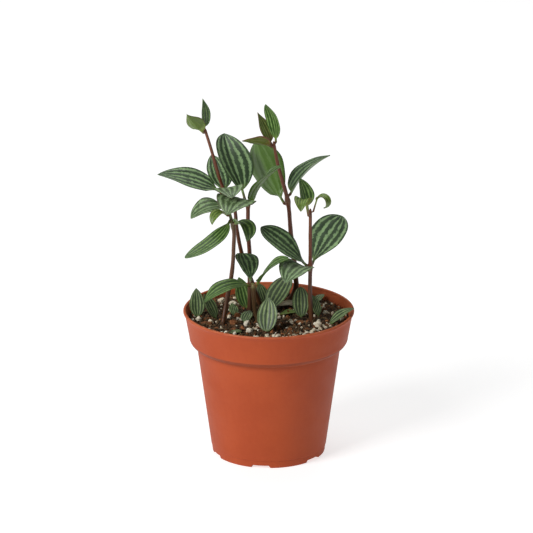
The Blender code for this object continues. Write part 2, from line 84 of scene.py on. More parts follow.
def blend(first: Colour, second: Colour, share: float) -> Colour:
    """Return the first colour with a share of the second in it."""
    return tuple((1.0 - share) * a + share * b for a, b in zip(first, second))


def soil_crown(radius: Union[float, np.ndarray]) -> Union[float, np.ndarray]:
    """Return the height of the soil's low crown, mm, at a distance from the pot's axis."""
    return SOIL_EDGE_TOP + SOIL_CROWN * (1.0 - (radius / SOIL_EDGE_RADIUS) ** 2)


# ---------------------------------------------------------------- noise and surfaces

def lattice_noise(points: np.ndarray, seed: int) -> np.ndarray:
    """Return smooth noise: random values at whole-number corners, eased between them.

    Args:
        points: places, shape (..., 3), in cells of the lattice.
        seed: picks the set of random values.

    Returns:
        Values between -1 and 1, shape (...).
    """
    cell = np.floor(points).astype(np.int64)
    ease = (points - cell) ** 2 * (3.0 - 2.0 * (points - cell))
    total = np.zeros(points.shape[:-1])
    for corner in product((0, 1), repeat=3):
        at = cell + corner
        mixed = at[..., 0] * 73856093 ^ at[..., 1] * 19349663 ^ at[..., 2] * 83492791
        mixed = (mixed ^ seed * 2654435761) & 0x7FFFFFFF
        mixed = (mixed ^ mixed >> 15) * 2246822519 & 0x7FFFFFFF
        mixed = (mixed ^ mixed >> 13) * 3266489917 & 0x7FFFFFFF
        weight = np.prod(np.where(corner, ease, 1.0 - ease), axis=-1)
        total += weight * (mixed / 0x3FFFFFFF - 1.0)
    return total


def layered_noise(points: np.ndarray, size: float, layers: int, seed: int) -> np.ndarray:
    """Return noise summed over layers, each half as large and half as strong as the last.

    Args:
        points: places in mm, shape (..., 3).
        size: the largest layer's cell, mm.
        layers: how many layers are summed.
        seed: picks the random values.

    Returns:
        Values of about -1 to 1, shape (...).
    """
    total = np.zeros(points.shape[:-1])
    for layer in range(layers):
        total += lattice_noise(points * 2 ** layer / size, seed + layer) / 2 ** layer
    return total


@dataclass
class Surface:
    """Points of a piece in mm, its faces as arrays of indices, and values at its points."""
    points: np.ndarray
    faces: list[np.ndarray]
    values: dict[str, np.ndarray] = field(default_factory=dict)

    def volume(self) -> float:
        """Return the volume inside the faces: a sixth of the summed triple products."""
        total = 0.0
        for group in self.faces:
            corner = self.points[group]
            for index in range(1, group.shape[1] - 1):
                wedge = np.cross(corner[:, index], corner[:, index + 1])
                total += float(np.einsum("ij,ij->", corner[:, 0], wedge)) / 6.0
        return total

    def outward(self) -> "Surface":
        """Return the surface with its faces pointing outwards."""
        if self.volume() < 0.0:
            self.faces = [group[:, ::-1] for group in self.faces]
        return self

    def mesh(self, name: str, sharp: Optional[float] = None) -> bpy.types.Mesh:
        """Return a mesh in metres, with the values as attributes at its points.

        Args:
            name: the mesh's name.
            sharp: angle in degrees past which an edge is sharp, or None for none.
        """
        mesh = bpy.data.meshes.new(name)
        mesh.vertices.add(len(self.points))
        mesh.vertices.foreach_set("co", (self.points * MM).astype(np.float32).ravel())
        corners = np.concatenate([group.ravel() for group in self.faces])
        sizes = np.concatenate([np.full(len(group), group.shape[1]) for group in self.faces])
        mesh.loops.add(len(corners))
        mesh.loops.foreach_set("vertex_index", corners.astype(np.int32))
        mesh.polygons.add(len(sizes))
        starts = np.concatenate([[0], np.cumsum(sizes)[:-1]])
        mesh.polygons.foreach_set("loop_start", starts.astype(np.int32))
        mesh.update(calc_edges=True)
        for key, value in self.values.items():
            kind = "FLOAT_VECTOR" if value.ndim == 2 else "FLOAT"
            attribute = mesh.attributes.new(key, kind, "POINT")
            attribute.data.foreach_set("vector" if value.ndim == 2 else "value",
                                       value.astype(np.float32).ravel())
        mesh.shade_smooth()
        if sharp is not None:
            mesh.set_sharp_from_angle(angle=math.radians(sharp))
        mesh.validate()
        return mesh


def ring_stack(rings: np.ndarray, values: Optional[dict[str, np.ndarray]] = None) -> Surface:
    """Close a stack of rings: quads between the rings, and a fan to a pole at each end.

    Args:
        rings: points, shape (rings, around, 3); the first and last ring shrink to poles
            at their own centres.
        values: for each name an array of shape (rings, around) or (rings, around, 3).

    Returns:
        One closed surface with its faces outwards.
    """
    count, around = rings.shape[:2]
    index = np.arange(count * around).reshape(count, around)
    after = np.roll(index, -1, axis=1)
    quads = np.stack([index[:-1], after[:-1], after[1:], index[1:]], axis=-1).reshape(-1, 4)
    low, high = count * around, count * around + 1
    low_fan = np.stack([np.full(around, low), after[0], index[0]], axis=-1)
    high_fan = np.stack([index[-1], after[-1], np.full(around, high)], axis=-1)
    poles = rings[[0, -1]].mean(axis=1)
    points = np.vstack([rings.reshape(-1, 3), poles])
    kept = {}
    for key, value in (values or {}).items():
        ends = value[[0, -1]].mean(axis=1)
        kept[key] = np.concatenate([value.reshape(count * around, *value.shape[2:]), ends])
    return Surface(points, [quads, low_fan, high_fan], kept).outward()


def turned(profile: np.ndarray, around: int) -> np.ndarray:
    """Return rings of a profile turned about Z: (radius, height) at equal angles.

    Args:
        profile: radius and height, mm, shape (points, 2).
        around: points in each ring.

    Returns:
        Rings, shape (points, around, 3).
    """
    angle = np.arange(around) * 2.0 * math.pi / around
    radius, height = profile[:, :1], profile[:, 1:]
    return np.stack([radius * np.cos(angle), radius * np.sin(angle),
                     np.broadcast_to(height, (len(profile), around))], axis=-1)


def arc(centre: tuple[float, float], radius: float, start: float, end: float,
        count: int) -> np.ndarray:
    """Return points on an arc of a profile, angles in degrees from +radius towards +Z."""
    angle = np.radians(np.linspace(start, end, count))
    return np.stack([centre[0] + radius * np.cos(angle),
                     centre[1] + radius * np.sin(angle)], axis=-1)


def filled(corners: np.ndarray, spacing: float) -> np.ndarray:
    """Return a profile with points added on its long straight runs, mm apart at most."""
    runs = []
    for start, end in zip(corners[:-1], corners[1:]):
        count = max(1, math.ceil(float(np.linalg.norm(end - start)) / spacing))
        runs.append(start + (end - start) * (np.arange(count) / count)[:, None])
    return np.vstack([*runs, corners[-1:]])


def ball(rows: int, around: int) -> tuple[np.ndarray, list[np.ndarray]]:
    """Return a unit ball on a grid of rows and meridians, poles closed.

    Args:
        rows: rings between the poles.
        around: points in each ring.

    Returns:
        Points, shape (n, 3), and the faces' index arrays.
    """
    angle = np.linspace(-math.pi / 2, math.pi / 2, rows + 2)[1:-1]
    profile = np.stack([np.cos(angle), np.sin(angle)], axis=-1)
    surface = ring_stack(turned(profile, around))
    surface.points[-2:] = ((0.0, 0.0, -1.0), (0.0, 0.0, 1.0))
    return surface.points, surface.faces


def repeated(faces: list[np.ndarray], points: int, count: int) -> list[np.ndarray]:
    """Return the faces of copies that follow one another.

    Args:
        faces: one copy's faces.
        points: how many points one copy has.
        count: how many copies there are.
    """
    step = points * np.arange(count)[:, None, None]
    return [(group + step).reshape(-1, group.shape[1]) for group in faces]


def random_turns(rng: np.random.Generator, count: int) -> np.ndarray:
    """Return random turning matrices, shape (count, 3, 3), from random quaternions."""
    w, x, y, z = rng.normal(size=(4, count))
    length = np.sqrt(w * w + x * x + y * y + z * z)
    w, x, y, z = w / length, x / length, y / length, z / length
    return np.array([
        [1 - 2 * (y * y + z * z), 2 * (x * y - z * w), 2 * (x * z + y * w)],
        [2 * (x * y + z * w), 1 - 2 * (x * x + z * z), 2 * (y * z - x * w)],
        [2 * (x * z - y * w), 2 * (y * z + x * w), 1 - 2 * (x * x + y * y)],
    ]).transpose(2, 0, 1)


def linked(name: str, data: bpy.types.ID) -> bpy.types.Object:
    """Return a new object in the scene for a mesh, a light or a camera."""
    item = bpy.data.objects.new(name, data)
    bpy.context.scene.collection.objects.link(item)
    return item


def add_piece(name: str, mesh: bpy.types.Mesh, material: bpy.types.Material, slot: str,
              *nodes: str) -> bpy.types.Object:
    """Link a finished mesh as a piece, dress it and hide the CAD nodes that it replaces.

    Args:
        name: the piece's name.
        mesh: its mesh, in metres and in place.
        material: its material.
        slot: the record's material slot that it belongs to; not used.
        nodes: CAD nodes that it replaces.

    Returns:
        The new object.
    """
    mesh.materials.append(material)
    piece = linked(name, mesh)
    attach(piece, BODY)
    if nodes:
        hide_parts(*nodes)
    log.info("%s: %d faces", name, len(mesh.polygons))
    return piece


# ---------------------------------------------------------------- shader graphs

def operation(name: str) -> Callable[..., "Wire"]:
    """Return a method of a wire that gives the result of a Math node.

    Args:
        name: the Math node's operation.
    """
    def result(wire: "Wire", *others: Source) -> "Wire":
        """Return the operation's result for the wire and the others."""
        return wire.graph.node("Math", dict(enumerate((wire, *others))), operation=name)[0]
    return result


@dataclass(frozen=True)
class Wire:
    """A node's output, which is worked with as a number is."""
    graph: "Graph"
    socket: bpy.types.NodeSocket

    __add__ = operation("ADD")
    __sub__ = operation("SUBTRACT")
    __mul__ = operation("MULTIPLY")
    __truediv__ = operation("DIVIDE")
    __pow__ = operation("POWER")
    __abs__ = operation("ABSOLUTE")
    __round__ = operation("ROUND")
    root = operation("SQRT")
    sine = operation("SINE")


@dataclass
class Graph:
    """Adds nodes to one node tree and links them."""
    tree: bpy.types.NodeTree

    def feed(self, socket: bpy.types.NodeSocket, source: Source) -> None:
        """Link a socket to a wire, or set its own value."""
        if isinstance(source, Wire):
            self.tree.links.new(source.socket, socket)
        elif isinstance(source, tuple) and socket.type == "RGBA":
            socket.default_value = (*source[:3], 1.0)
        else:
            socket.default_value = source

    def node(self, kind: str, inputs: dict[Key, Source], **settings: object
             ) -> dict[Key, Wire]:
        """Add a node.

        Args:
            kind: the node's type, less the words that every shader node's starts with.
            inputs: what feeds its inputs, by number or by name.
            settings: the node's own properties.

        Returns:
            Its outputs, by number and by name.
        """
        node = self.tree.nodes.new("ShaderNode" + kind)
        for key, value in settings.items():
            setattr(node, key, value)
        for key, source in inputs.items():
            self.feed(node.inputs[key], source)
        wires = [Wire(self, socket) for socket in node.outputs]
        return dict(enumerate(wires)) | {wire.socket.name: wire for wire in wires}

    def ramp(self, value: Source, low: float, high: float, out_low: float = 0.0,
             out_high: float = 1.0) -> Wire:
        """Return a value eased from out_low at low to out_high at high."""
        names = ("Value", "From Min", "From Max", "To Min", "To Max")
        inputs = dict(zip(names, (value, low, high, out_low, out_high)))
        return self.node("MapRange", inputs, interpolation_type="SMOOTHSTEP")["Result"]

    def mix(self, factor: Source, first: Source, second: Source) -> Wire:
        """Return the first colour turning into the second with the factor."""
        inputs = dict(zip(MIX_INPUTS, (factor, first, second)))
        return self.node("Mix", inputs, data_type="RGBA", clamp_factor=True)[MIX_OUTPUT]

    def noise(self, place: Source, scale: Source, detail: float = 2.0,
              roughness: float = 0.5) -> Wire:
        """Return a Noise Texture's value at a place."""
        return self.node("TexNoise", {"Vector": place, "Scale": scale, "Detail": detail,
                                      "Roughness": roughness})["Fac"]

    def stretch(self, place: Source, scale: tuple[float, float, float]) -> Wire:
        """Return a place with its axes scaled."""
        return self.node("VectorMath", {0: place, 1: scale}, operation="MULTIPLY")[0]

    def split(self, place: Source) -> list[Wire]:
        """Return the three numbers of a place."""
        parts = self.node("SeparateXYZ", {0: place})
        return [parts[axis] for axis in range(3)]

    def join(self, *numbers: Source) -> Wire:
        """Return the place made of three numbers."""
        return self.node("CombineXYZ", dict(enumerate(numbers)))[0]

    def attribute(self, name: str, output: str = "Vector") -> Wire:
        """Return a piece's own attribute."""
        return self.node("Attribute", {}, attribute_name=name)[output]

    def object_place(self) -> Wire:
        """Return the Object coordinates, in metres."""
        return self.node("TexCoord", {})["Object"]

    def effect(self, tree: bpy.types.NodeTree, **inputs: Source) -> dict[Key, Wire]:
        """Return the outputs of a shared effect, with its inputs fed by name."""
        return self.node("Group", {key.title(): source for key, source in inputs.items()},
                         node_tree=tree)

    def bump(self, height: Wire, depth: float, strength: float = 1.0) -> Wire:
        """Return a normal bent by a height, for a depth in mm."""
        return self.node("Bump", {"Height": height, "Distance": depth * MM,
                                  "Strength": strength})["Normal"]


class Paint(Graph):
    """The graph of a new material, whose end is the material's own Principled shader."""

    def __init__(self, name: str) -> None:
        """Make the material of that name."""
        self.material = bpy.data.materials.new(name)
        self.material.use_nodes = True
        super().__init__(self.material.node_tree)

    def finish(self, colour: Source, roughness: Source, normal: Optional[Wire] = None,
               **fixed: object) -> bpy.types.Material:
        """Feed the shader.

        Args:
            colour: the base colour.
            roughness: the roughness.
            normal: the bent normal, or None for the surface's own.
            fixed: values set on the shader's other sockets, by name.

        Returns:
            The finished material.
        """
        inputs = self.tree.nodes["Principled BSDF"].inputs
        fed = {"Base Color": colour, "Roughness": roughness, "Normal": normal, **fixed}
        for name, source in fed.items():
            if source is not None:
                self.feed(inputs[name], source)
        return self.material


class Effects:
    """The effects that several materials share, each a node group built once."""

    def __init__(self) -> None:
        """Build the groups."""
        self.clouds = self.group("soft_clouds", "Place", "Scale Specks", self.cloud)
        self.stripes = self.group("leaf_stripes", "Place Grain", "Width Feather Pitch",
                                  self.stripe)
        self.dust = self.group("soil_dust", "Place", "Reach", self.settle)

    @staticmethod
    def group(name: str, places: str, numbers: str, recipe: Callable[..., dict[str, Wire]]
              ) -> bpy.types.NodeTree:
        """Return a new node group.

        Args:
            name: the group's name.
            places: the names of its inputs that are places.
            numbers: the names of its inputs that are numbers.
            recipe: works out its outputs, by name, from its graph and its inputs.
        """
        tree = bpy.data.node_groups.new(name, "ShaderNodeTree")
        graph = Graph(tree)
        for kind, labels in (("Vector", places), ("Float", numbers)):
            for label in labels.split():
                tree.interface.new_socket(label, in_out="INPUT",
                                          socket_type="NodeSocket" + kind)
        start = tree.nodes.new("NodeGroupInput")
        masks = recipe(graph, *(Wire(graph, socket) for socket in start.outputs if socket.name))
        end = tree.nodes.new("NodeGroupOutput")
        for label, mask in masks.items():
            tree.interface.new_socket(label, in_out="OUTPUT", socket_type="NodeSocketFloat")
            graph.feed(end.inputs[label], mask)
        return tree

    @staticmethod
    def cloud(graph: Graph, place: Wire, scale: Wire, specks: Wire) -> dict[str, Wire]:
        """Soft clouds with fine specks over them, as a mask from 0 to 1."""
        broad = graph.noise(place, scale, 3.0)
        fine = (graph.noise(place, scale * 14.0, 2.0) - 0.5) * specks
        return {"Mask": graph.ramp(broad + fine, 0.32, 0.68)}

    @staticmethod
    def stripe(graph: Graph, place: Wire, grain: Wire, width: Wire, feather: Wire,
               pitch: Wire) -> dict[str, Wire]:
        """Lengthwise stripes of a blade, with feathered sides.

        The place is (across from -1 to 1, along from 0 to 1, side) and the grain the same
        place in mm. The distance to the nearest stripe, in pitches, is pushed about by
        hairs of noise that lean from the stripe towards the tip, and by blots, and the mask
        falls from 1 to 0 as it passes the width.
        """
        across, along, _ = graph.split(place)
        turns = abs(across) / pitch
        near = abs(turns - round(turns))
        middle = (along * math.pi).sine()
        out, up, leaf = graph.split(graph.stretch(grain, (0.3, 0.85, 1.0)))
        hairs = graph.noise(graph.join(out, up - near * 3.2, leaf), 1.0, 2.0, 0.6)
        blots = graph.noise(graph.stretch(grain, (0.5, 0.28, 1.0)), 1.0, 1.0)
        shift = (hairs - 0.5) * (feather * middle) + (blots - 0.5) * (feather * 0.7)
        edge = near + shift - width * (middle * 0.45 + 0.62)
        return {"Mask": graph.ramp(edge, 0.09, -0.08), "Vein": graph.ramp(near, 0.07, 0.0)}

    @staticmethod
    def settle(graph: Graph, place: Wire, reach: Wire) -> dict[str, Wire]:
        """Crumbs and dust of soil that cling just over the soil's surface."""
        share = (graph.split(place)[2] - SOIL_EDGE_TOP * MM) / reach
        bits = graph.noise(place, 700.0, 3.0, 0.65)
        return {"Mask": graph.ramp(bits - share * 0.3, 0.44, 0.52)}


# ---------------------------------------------------------------- finishes

@dataclass(frozen=True)
class PlasticFinish:
    """Thin moulded plastic, dull and slightly cloudy, with a rubbed lip."""
    light: Colour = srgb(184, 78, 33)
    dark: Colour = srgb(173, 69, 27)
    rubbed: Colour = srgb(220, 132, 92)
    # The inner wall's lighter tint: painted light that sets how bright the shaded inside shows.
    painted_inside_light: Colour = srgb(205, 108, 66)
    soil: Colour = srgb(50, 31, 20)
    # The colour of the painted shade under the collar's overhang, where its shadow falls.
    painted_collar_shade: Colour = srgb(98, 42, 16)
    roughness: float = 0.58
    flare: float = 0.15
    wall_middle: float = 38.59
    collar_foot: float = 0.0738
    # How far below the collar the painted shade reaches, in metres.
    painted_shade_reach: float = 0.0075
    lip_band: tuple[float, float] = (0.0926, 0.0938)
    inside_foot: tuple[float, float] = (0.0855, 0.0865)

    def material(self, effects: Effects) -> bpy.types.Material:
        """Return the material: clouds, flow lines, a pale lip, painted shade in the crease under
        the collar, and inside a lighter tint that is painted light, with soil dust low down."""
        graph = Paint("terracotta_plastic")
        place = graph.object_place()
        clouds = graph.effect(effects.clouds, place=place, scale=28.0, specks=0.25)
        flow = graph.noise(graph.stretch(place, (1.0, 1.0, 0.06)), 420.0, 2.0)
        body = graph.mix(clouds["Mask"] * 0.7 + flow * 0.3, self.dark, self.light)
        x, y, z = graph.split(place)
        lip = graph.ramp(z, *self.lip_band) * graph.noise(place, 260.0, 3.0)
        body = graph.mix(lip * 0.8, body, self.rubbed)
        radius = (x * x + y * y).root()
        reach = z * self.flare + self.wall_middle * MM
        inside = graph.ramp(radius - reach, 0.0002, -0.0001) * graph.ramp(z, *self.inside_foot)
        # Painted shade: a darker band just under the collar, where the collar's overhang shades
        # the body.
        crease = graph.ramp(z, self.collar_foot - self.painted_shade_reach, self.collar_foot)
        under = crease * graph.ramp(z, self.collar_foot + 0.0012, self.collar_foot + 0.0004)
        body = graph.mix(under ** 2.0 * 0.55, body, self.painted_collar_shade)
        # Painted light: the inner wall above the soil is tinted lighter, to set how bright its
        # shaded face shows.
        painted_light_mask = inside * graph.ramp(clouds["Mask"], 0.0, 1.0, 0.6, 0.95)
        body = graph.mix(painted_light_mask, body, self.painted_inside_light)
        dust = graph.effect(effects.dust, place=place, reach=0.0045)["Mask"] * inside
        colour = graph.mix(dust * 0.85, body, self.soil)
        scuffs = graph.noise(graph.stretch(place, (1.0, 1.0, 1.6)), 45.0, 4.0, 0.6)
        rough = graph.ramp(scuffs, 0.3, 0.75, self.roughness - 0.03, self.roughness + 0.06)
        roughness = rough + dust * 0.3
        grain = graph.noise(place, 1500.0, 2.0, 0.6)
        peel = graph.noise(place, 180.0, 2.0) * 2.0
        normal = graph.bump(grain + peel, 0.05, 0.5)
        return graph.finish(colour, roughness, normal, **{"Specular IOR Level": 0.28})


@dataclass(frozen=True)
class MixFinish:
    """One ingredient of the soil mix, its grains shaded from dark to light by their tone."""
    name: str
    dark: Colour
    light: Colour
    fleck: Colour
    cell: float
    depth: float
    roughness: float = 0.9

    def material(self, effects: Effects) -> bpy.types.Material:
        """Return the material: a tone of its own for each grain, flecks and deep pores."""
        graph = Paint(self.name)
        place = graph.object_place()
        tone = graph.attribute("tone", "Fac")
        clouds = graph.effect(effects.clouds, place=place, scale=1000.0 / self.cell / 3.0,
                              specks=0.4)["Mask"]
        shade = tone * 0.75 + clouds * 0.35
        body = graph.mix(shade, self.dark, self.light)
        pores = graph.noise(place, 1000.0 / self.cell, 3.0, 0.65)
        colour = graph.mix(graph.ramp(pores, 0.56, 0.72), body, self.fleck)
        roughness = graph.ramp(pores, 0.3, 0.7, self.roughness, self.roughness - 0.15)
        normal = graph.bump(pores, self.depth)
        return graph.finish(colour, roughness, normal, **{"Specular IOR Level": 0.3})


@dataclass(frozen=True)
class StemFinish:
    """A fleshy red-brown stem, greener at its tip and ringed at its nodes."""
    name: str
    old: Colour = srgb(94, 54, 28)
    young: Colour = srgb(108, 50, 25)
    tip: Colour = srgb(118, 62, 32)
    ring: Colour = srgb(126, 88, 54)
    soil: Colour = srgb(58, 38, 25)

    def material(self, effects: Effects) -> bpy.types.Material:
        """Return the material: colour along the stem, streaks, node rings and dust."""
        graph = Paint(self.name)
        place = graph.object_place()
        share, node, _ = graph.split(graph.attribute("growth"))
        skin = graph.attribute("skin")
        body = graph.mix(graph.ramp(share, 0.1, 0.6), self.old, self.young)
        body = graph.mix(graph.ramp(share, 0.8, 1.0), body, self.tip)
        streaks = graph.noise(graph.stretch(skin, (1.6, 1.6, 0.05)), 2.2, 3.0, 0.6)
        body = graph.mix(graph.ramp(streaks, 0.45, 0.75, 0.0, 0.5), body, self.ring)
        rings = node * graph.noise(skin, 2.0, 2.0)
        body = graph.mix(graph.ramp(rings, 0.2, 0.6, 0.0, 0.7), body, self.ring)
        specks = graph.noise(skin, 5.0, 1.0)
        body = graph.mix(graph.ramp(specks, 0.62, 0.72, 0.0, 0.35), body, self.soil)
        dust = graph.effect(effects.dust, place=place, reach=0.012)["Mask"]
        colour = graph.mix(dust * 0.7, body, self.soil)
        roughness = graph.ramp(streaks, 0.3, 0.7, 0.34, 0.5) + dust * 0.3
        height = streaks + specks * 0.4
        normal = graph.bump(height, 0.12, 0.6)
        return graph.finish(colour, roughness, normal)


@dataclass(frozen=True)
class LeafFinish:
    """Colours of a blade: between its stripes, the stripes, its underside and its edge."""
    name: str
    dark: Colour
    stripe: Colour
    under: Colour
    edge: Colour
    base: Colour
    stalk: Colour
    pitch: float = 0.4
    width: float = 0.18
    feather: float = 0.5
    edge_width: float = 0.03
    base_reach: float = 0.12
    roughness: float = 0.4

    def material(self, effects: Effects) -> bpy.types.Material:
        """Return the material: stripes over the top, a plain underside, edge and stalk."""
        graph = Paint(self.name)
        place = graph.attribute("blade")
        grain = graph.attribute("blade_mm")
        across, along, side = graph.split(place)
        stripes = graph.effect(effects.stripes, place=place, grain=grain, width=self.width,
                               feather=self.feather, pitch=self.pitch)
        mask, vein = stripes["Mask"], stripes["Vein"]
        clouds = graph.effect(effects.clouds, place=graph.object_place(), scale=170.0,
                              specks=0.5)["Mask"]
        deep = graph.mix(clouds * 0.35, self.dark, blend(self.dark, self.stripe, 0.25))
        pale = graph.mix(clouds * 0.4, self.stripe, blend(self.dark, self.stripe, 0.65))
        top = graph.mix(mask, deep, pale)
        top = graph.mix(vein * 0.45, top, self.stripe)
        under = graph.mix(clouds * 0.3, self.under, tuple(0.75 * u for u in self.under))
        under = graph.mix(mask * 0.22, under, self.stripe)
        body = graph.mix(graph.ramp(side, -0.05, 0.05), under, top)
        rim = graph.ramp(abs(across), 1.0 - 2.0 * self.edge_width, 1.0 - 0.4 * self.edge_width)
        rim = rim * graph.ramp(along, -0.02, 0.03)
        body = graph.mix(rim, body, self.edge)
        near_stalk = graph.ramp(along, self.base_reach, 0.0)
        body = graph.mix(near_stalk * 0.75, body, self.base)
        body = graph.mix(graph.ramp(along, -0.05, -0.9), body, self.stalk)
        dust = graph.effect(effects.dust, place=graph.object_place(), reach=0.004)
        colour = graph.mix(dust["Mask"] * 0.5, body, srgb(74, 54, 38))
        cells = graph.noise(grain, 3.2, 2.0, 0.6)
        roughness = graph.ramp(cells + mask * 0.3, 0.3, 1.0, self.roughness - 0.06,
                               self.roughness + 0.14)
        height = cells * 0.5 - vein * 0.8
        normal = graph.bump(height, 0.12, 0.7)
        return graph.finish(colour, roughness, normal, **{
            "Coat Weight": 0.12, "Coat Roughness": 0.3, "Subsurface Weight": 0.08,
            "Subsurface Radius": (0.3, 0.6, 0.1), "Subsurface Scale": MM})


class LeafKind(Enum):
    """The looks that a leaf of this plant has."""
    MATURE = LeafFinish("mature_leaf", srgb(48, 70, 43), srgb(152, 186, 129),
                        srgb(84, 120, 42), srgb(84, 106, 58), srgb(128, 158, 82),
                        srgb(104, 76, 38), feather=0.7)
    PENCILLED = LeafFinish("pencilled_leaf", srgb(52, 76, 46), srgb(130, 162, 110),
                           srgb(84, 120, 42), srgb(84, 106, 58), srgb(128, 158, 82),
                           srgb(112, 70, 38), pitch=0.29, width=0.16, feather=0.36)
    # A greyer copy of the leaf for the drooping front leaves: its grey tone is painted sheen, the
    # reflection of the white surround at a grazing view; its stripes are the leaf's own.
    PAINTED_SHEEN = LeafFinish("painted_sheen_leaf", srgb(80, 100, 65), srgb(156, 184, 134),
                        srgb(108, 104, 54), srgb(96, 82, 58), srgb(134, 160, 92),
                        srgb(112, 124, 54), width=0.22, feather=0.9)
    FRESH = LeafFinish("fresh_leaf", srgb(52, 84, 32), srgb(142, 178, 100),
                       srgb(88, 124, 44), srgb(94, 122, 48), srgb(130, 160, 70),
                       srgb(114, 82, 38), width=0.16, feather=0.45)
    # Painted light: the saturated yellow-green underside and edge stand in for light shining
    # through the blade from behind.
    BACKLIT = LeafFinish("backlit_painted_leaf", srgb(52, 80, 38), srgb(134, 168, 104),
                         srgb(76, 112, 22), srgb(58, 88, 18), srgb(118, 146, 50),
                         srgb(116, 66, 38))
    TIP_RED = LeafFinish("red_edged_tip", srgb(84, 98, 30), srgb(150, 166, 84),
                         srgb(112, 122, 50), srgb(122, 66, 38), srgb(118, 82, 38),
                         srgb(112, 58, 36), edge_width=0.12, base_reach=0.3)
    TIP_GREEN = LeafFinish("green_tip", srgb(82, 108, 34), srgb(142, 168, 82),
                           srgb(98, 122, 40), srgb(98, 88, 38), srgb(130, 142, 58),
                           srgb(116, 72, 38), edge_width=0.06, base_reach=0.25)
    LOW = LeafFinish("low_leaf", srgb(56, 76, 45), srgb(158, 182, 122),
                     srgb(80, 102, 46), srgb(112, 132, 78), srgb(98, 124, 58),
                     srgb(88, 80, 38), pitch=0.4, width=0.16, feather=0.4,
                     roughness=0.55)


@dataclass(frozen=True)
class StrawFinish:
    """A dried leaf: pale, dull and veined."""
    pale: Colour = srgb(196, 188, 158)
    brown: Colour = srgb(138, 112, 76)

    def material(self, effects: Effects) -> bpy.types.Material:
        """Return the material: straw between darker veins, with brown blots."""
        graph = Paint("dry_leaf_straw")
        stripes = graph.effect(effects.stripes, place=graph.attribute("blade"),
                               grain=graph.attribute("blade_mm"), width=0.12, feather=0.3,
                               pitch=0.3)
        clouds = graph.effect(effects.clouds, place=graph.object_place(), scale=260.0,
                              specks=0.8)["Mask"]
        body = graph.mix(clouds * 0.6, self.pale, self.brown)
        colour = graph.mix(stripes["Mask"] * 0.5, body, self.brown)
        roughness = graph.ramp(clouds, 0.0, 1.0, 0.7, 0.9)
        normal = graph.bump(clouds + stripes["Vein"], 0.25)
        return graph.finish(colour, roughness, normal)


# ---------------------------------------------------------------- pot

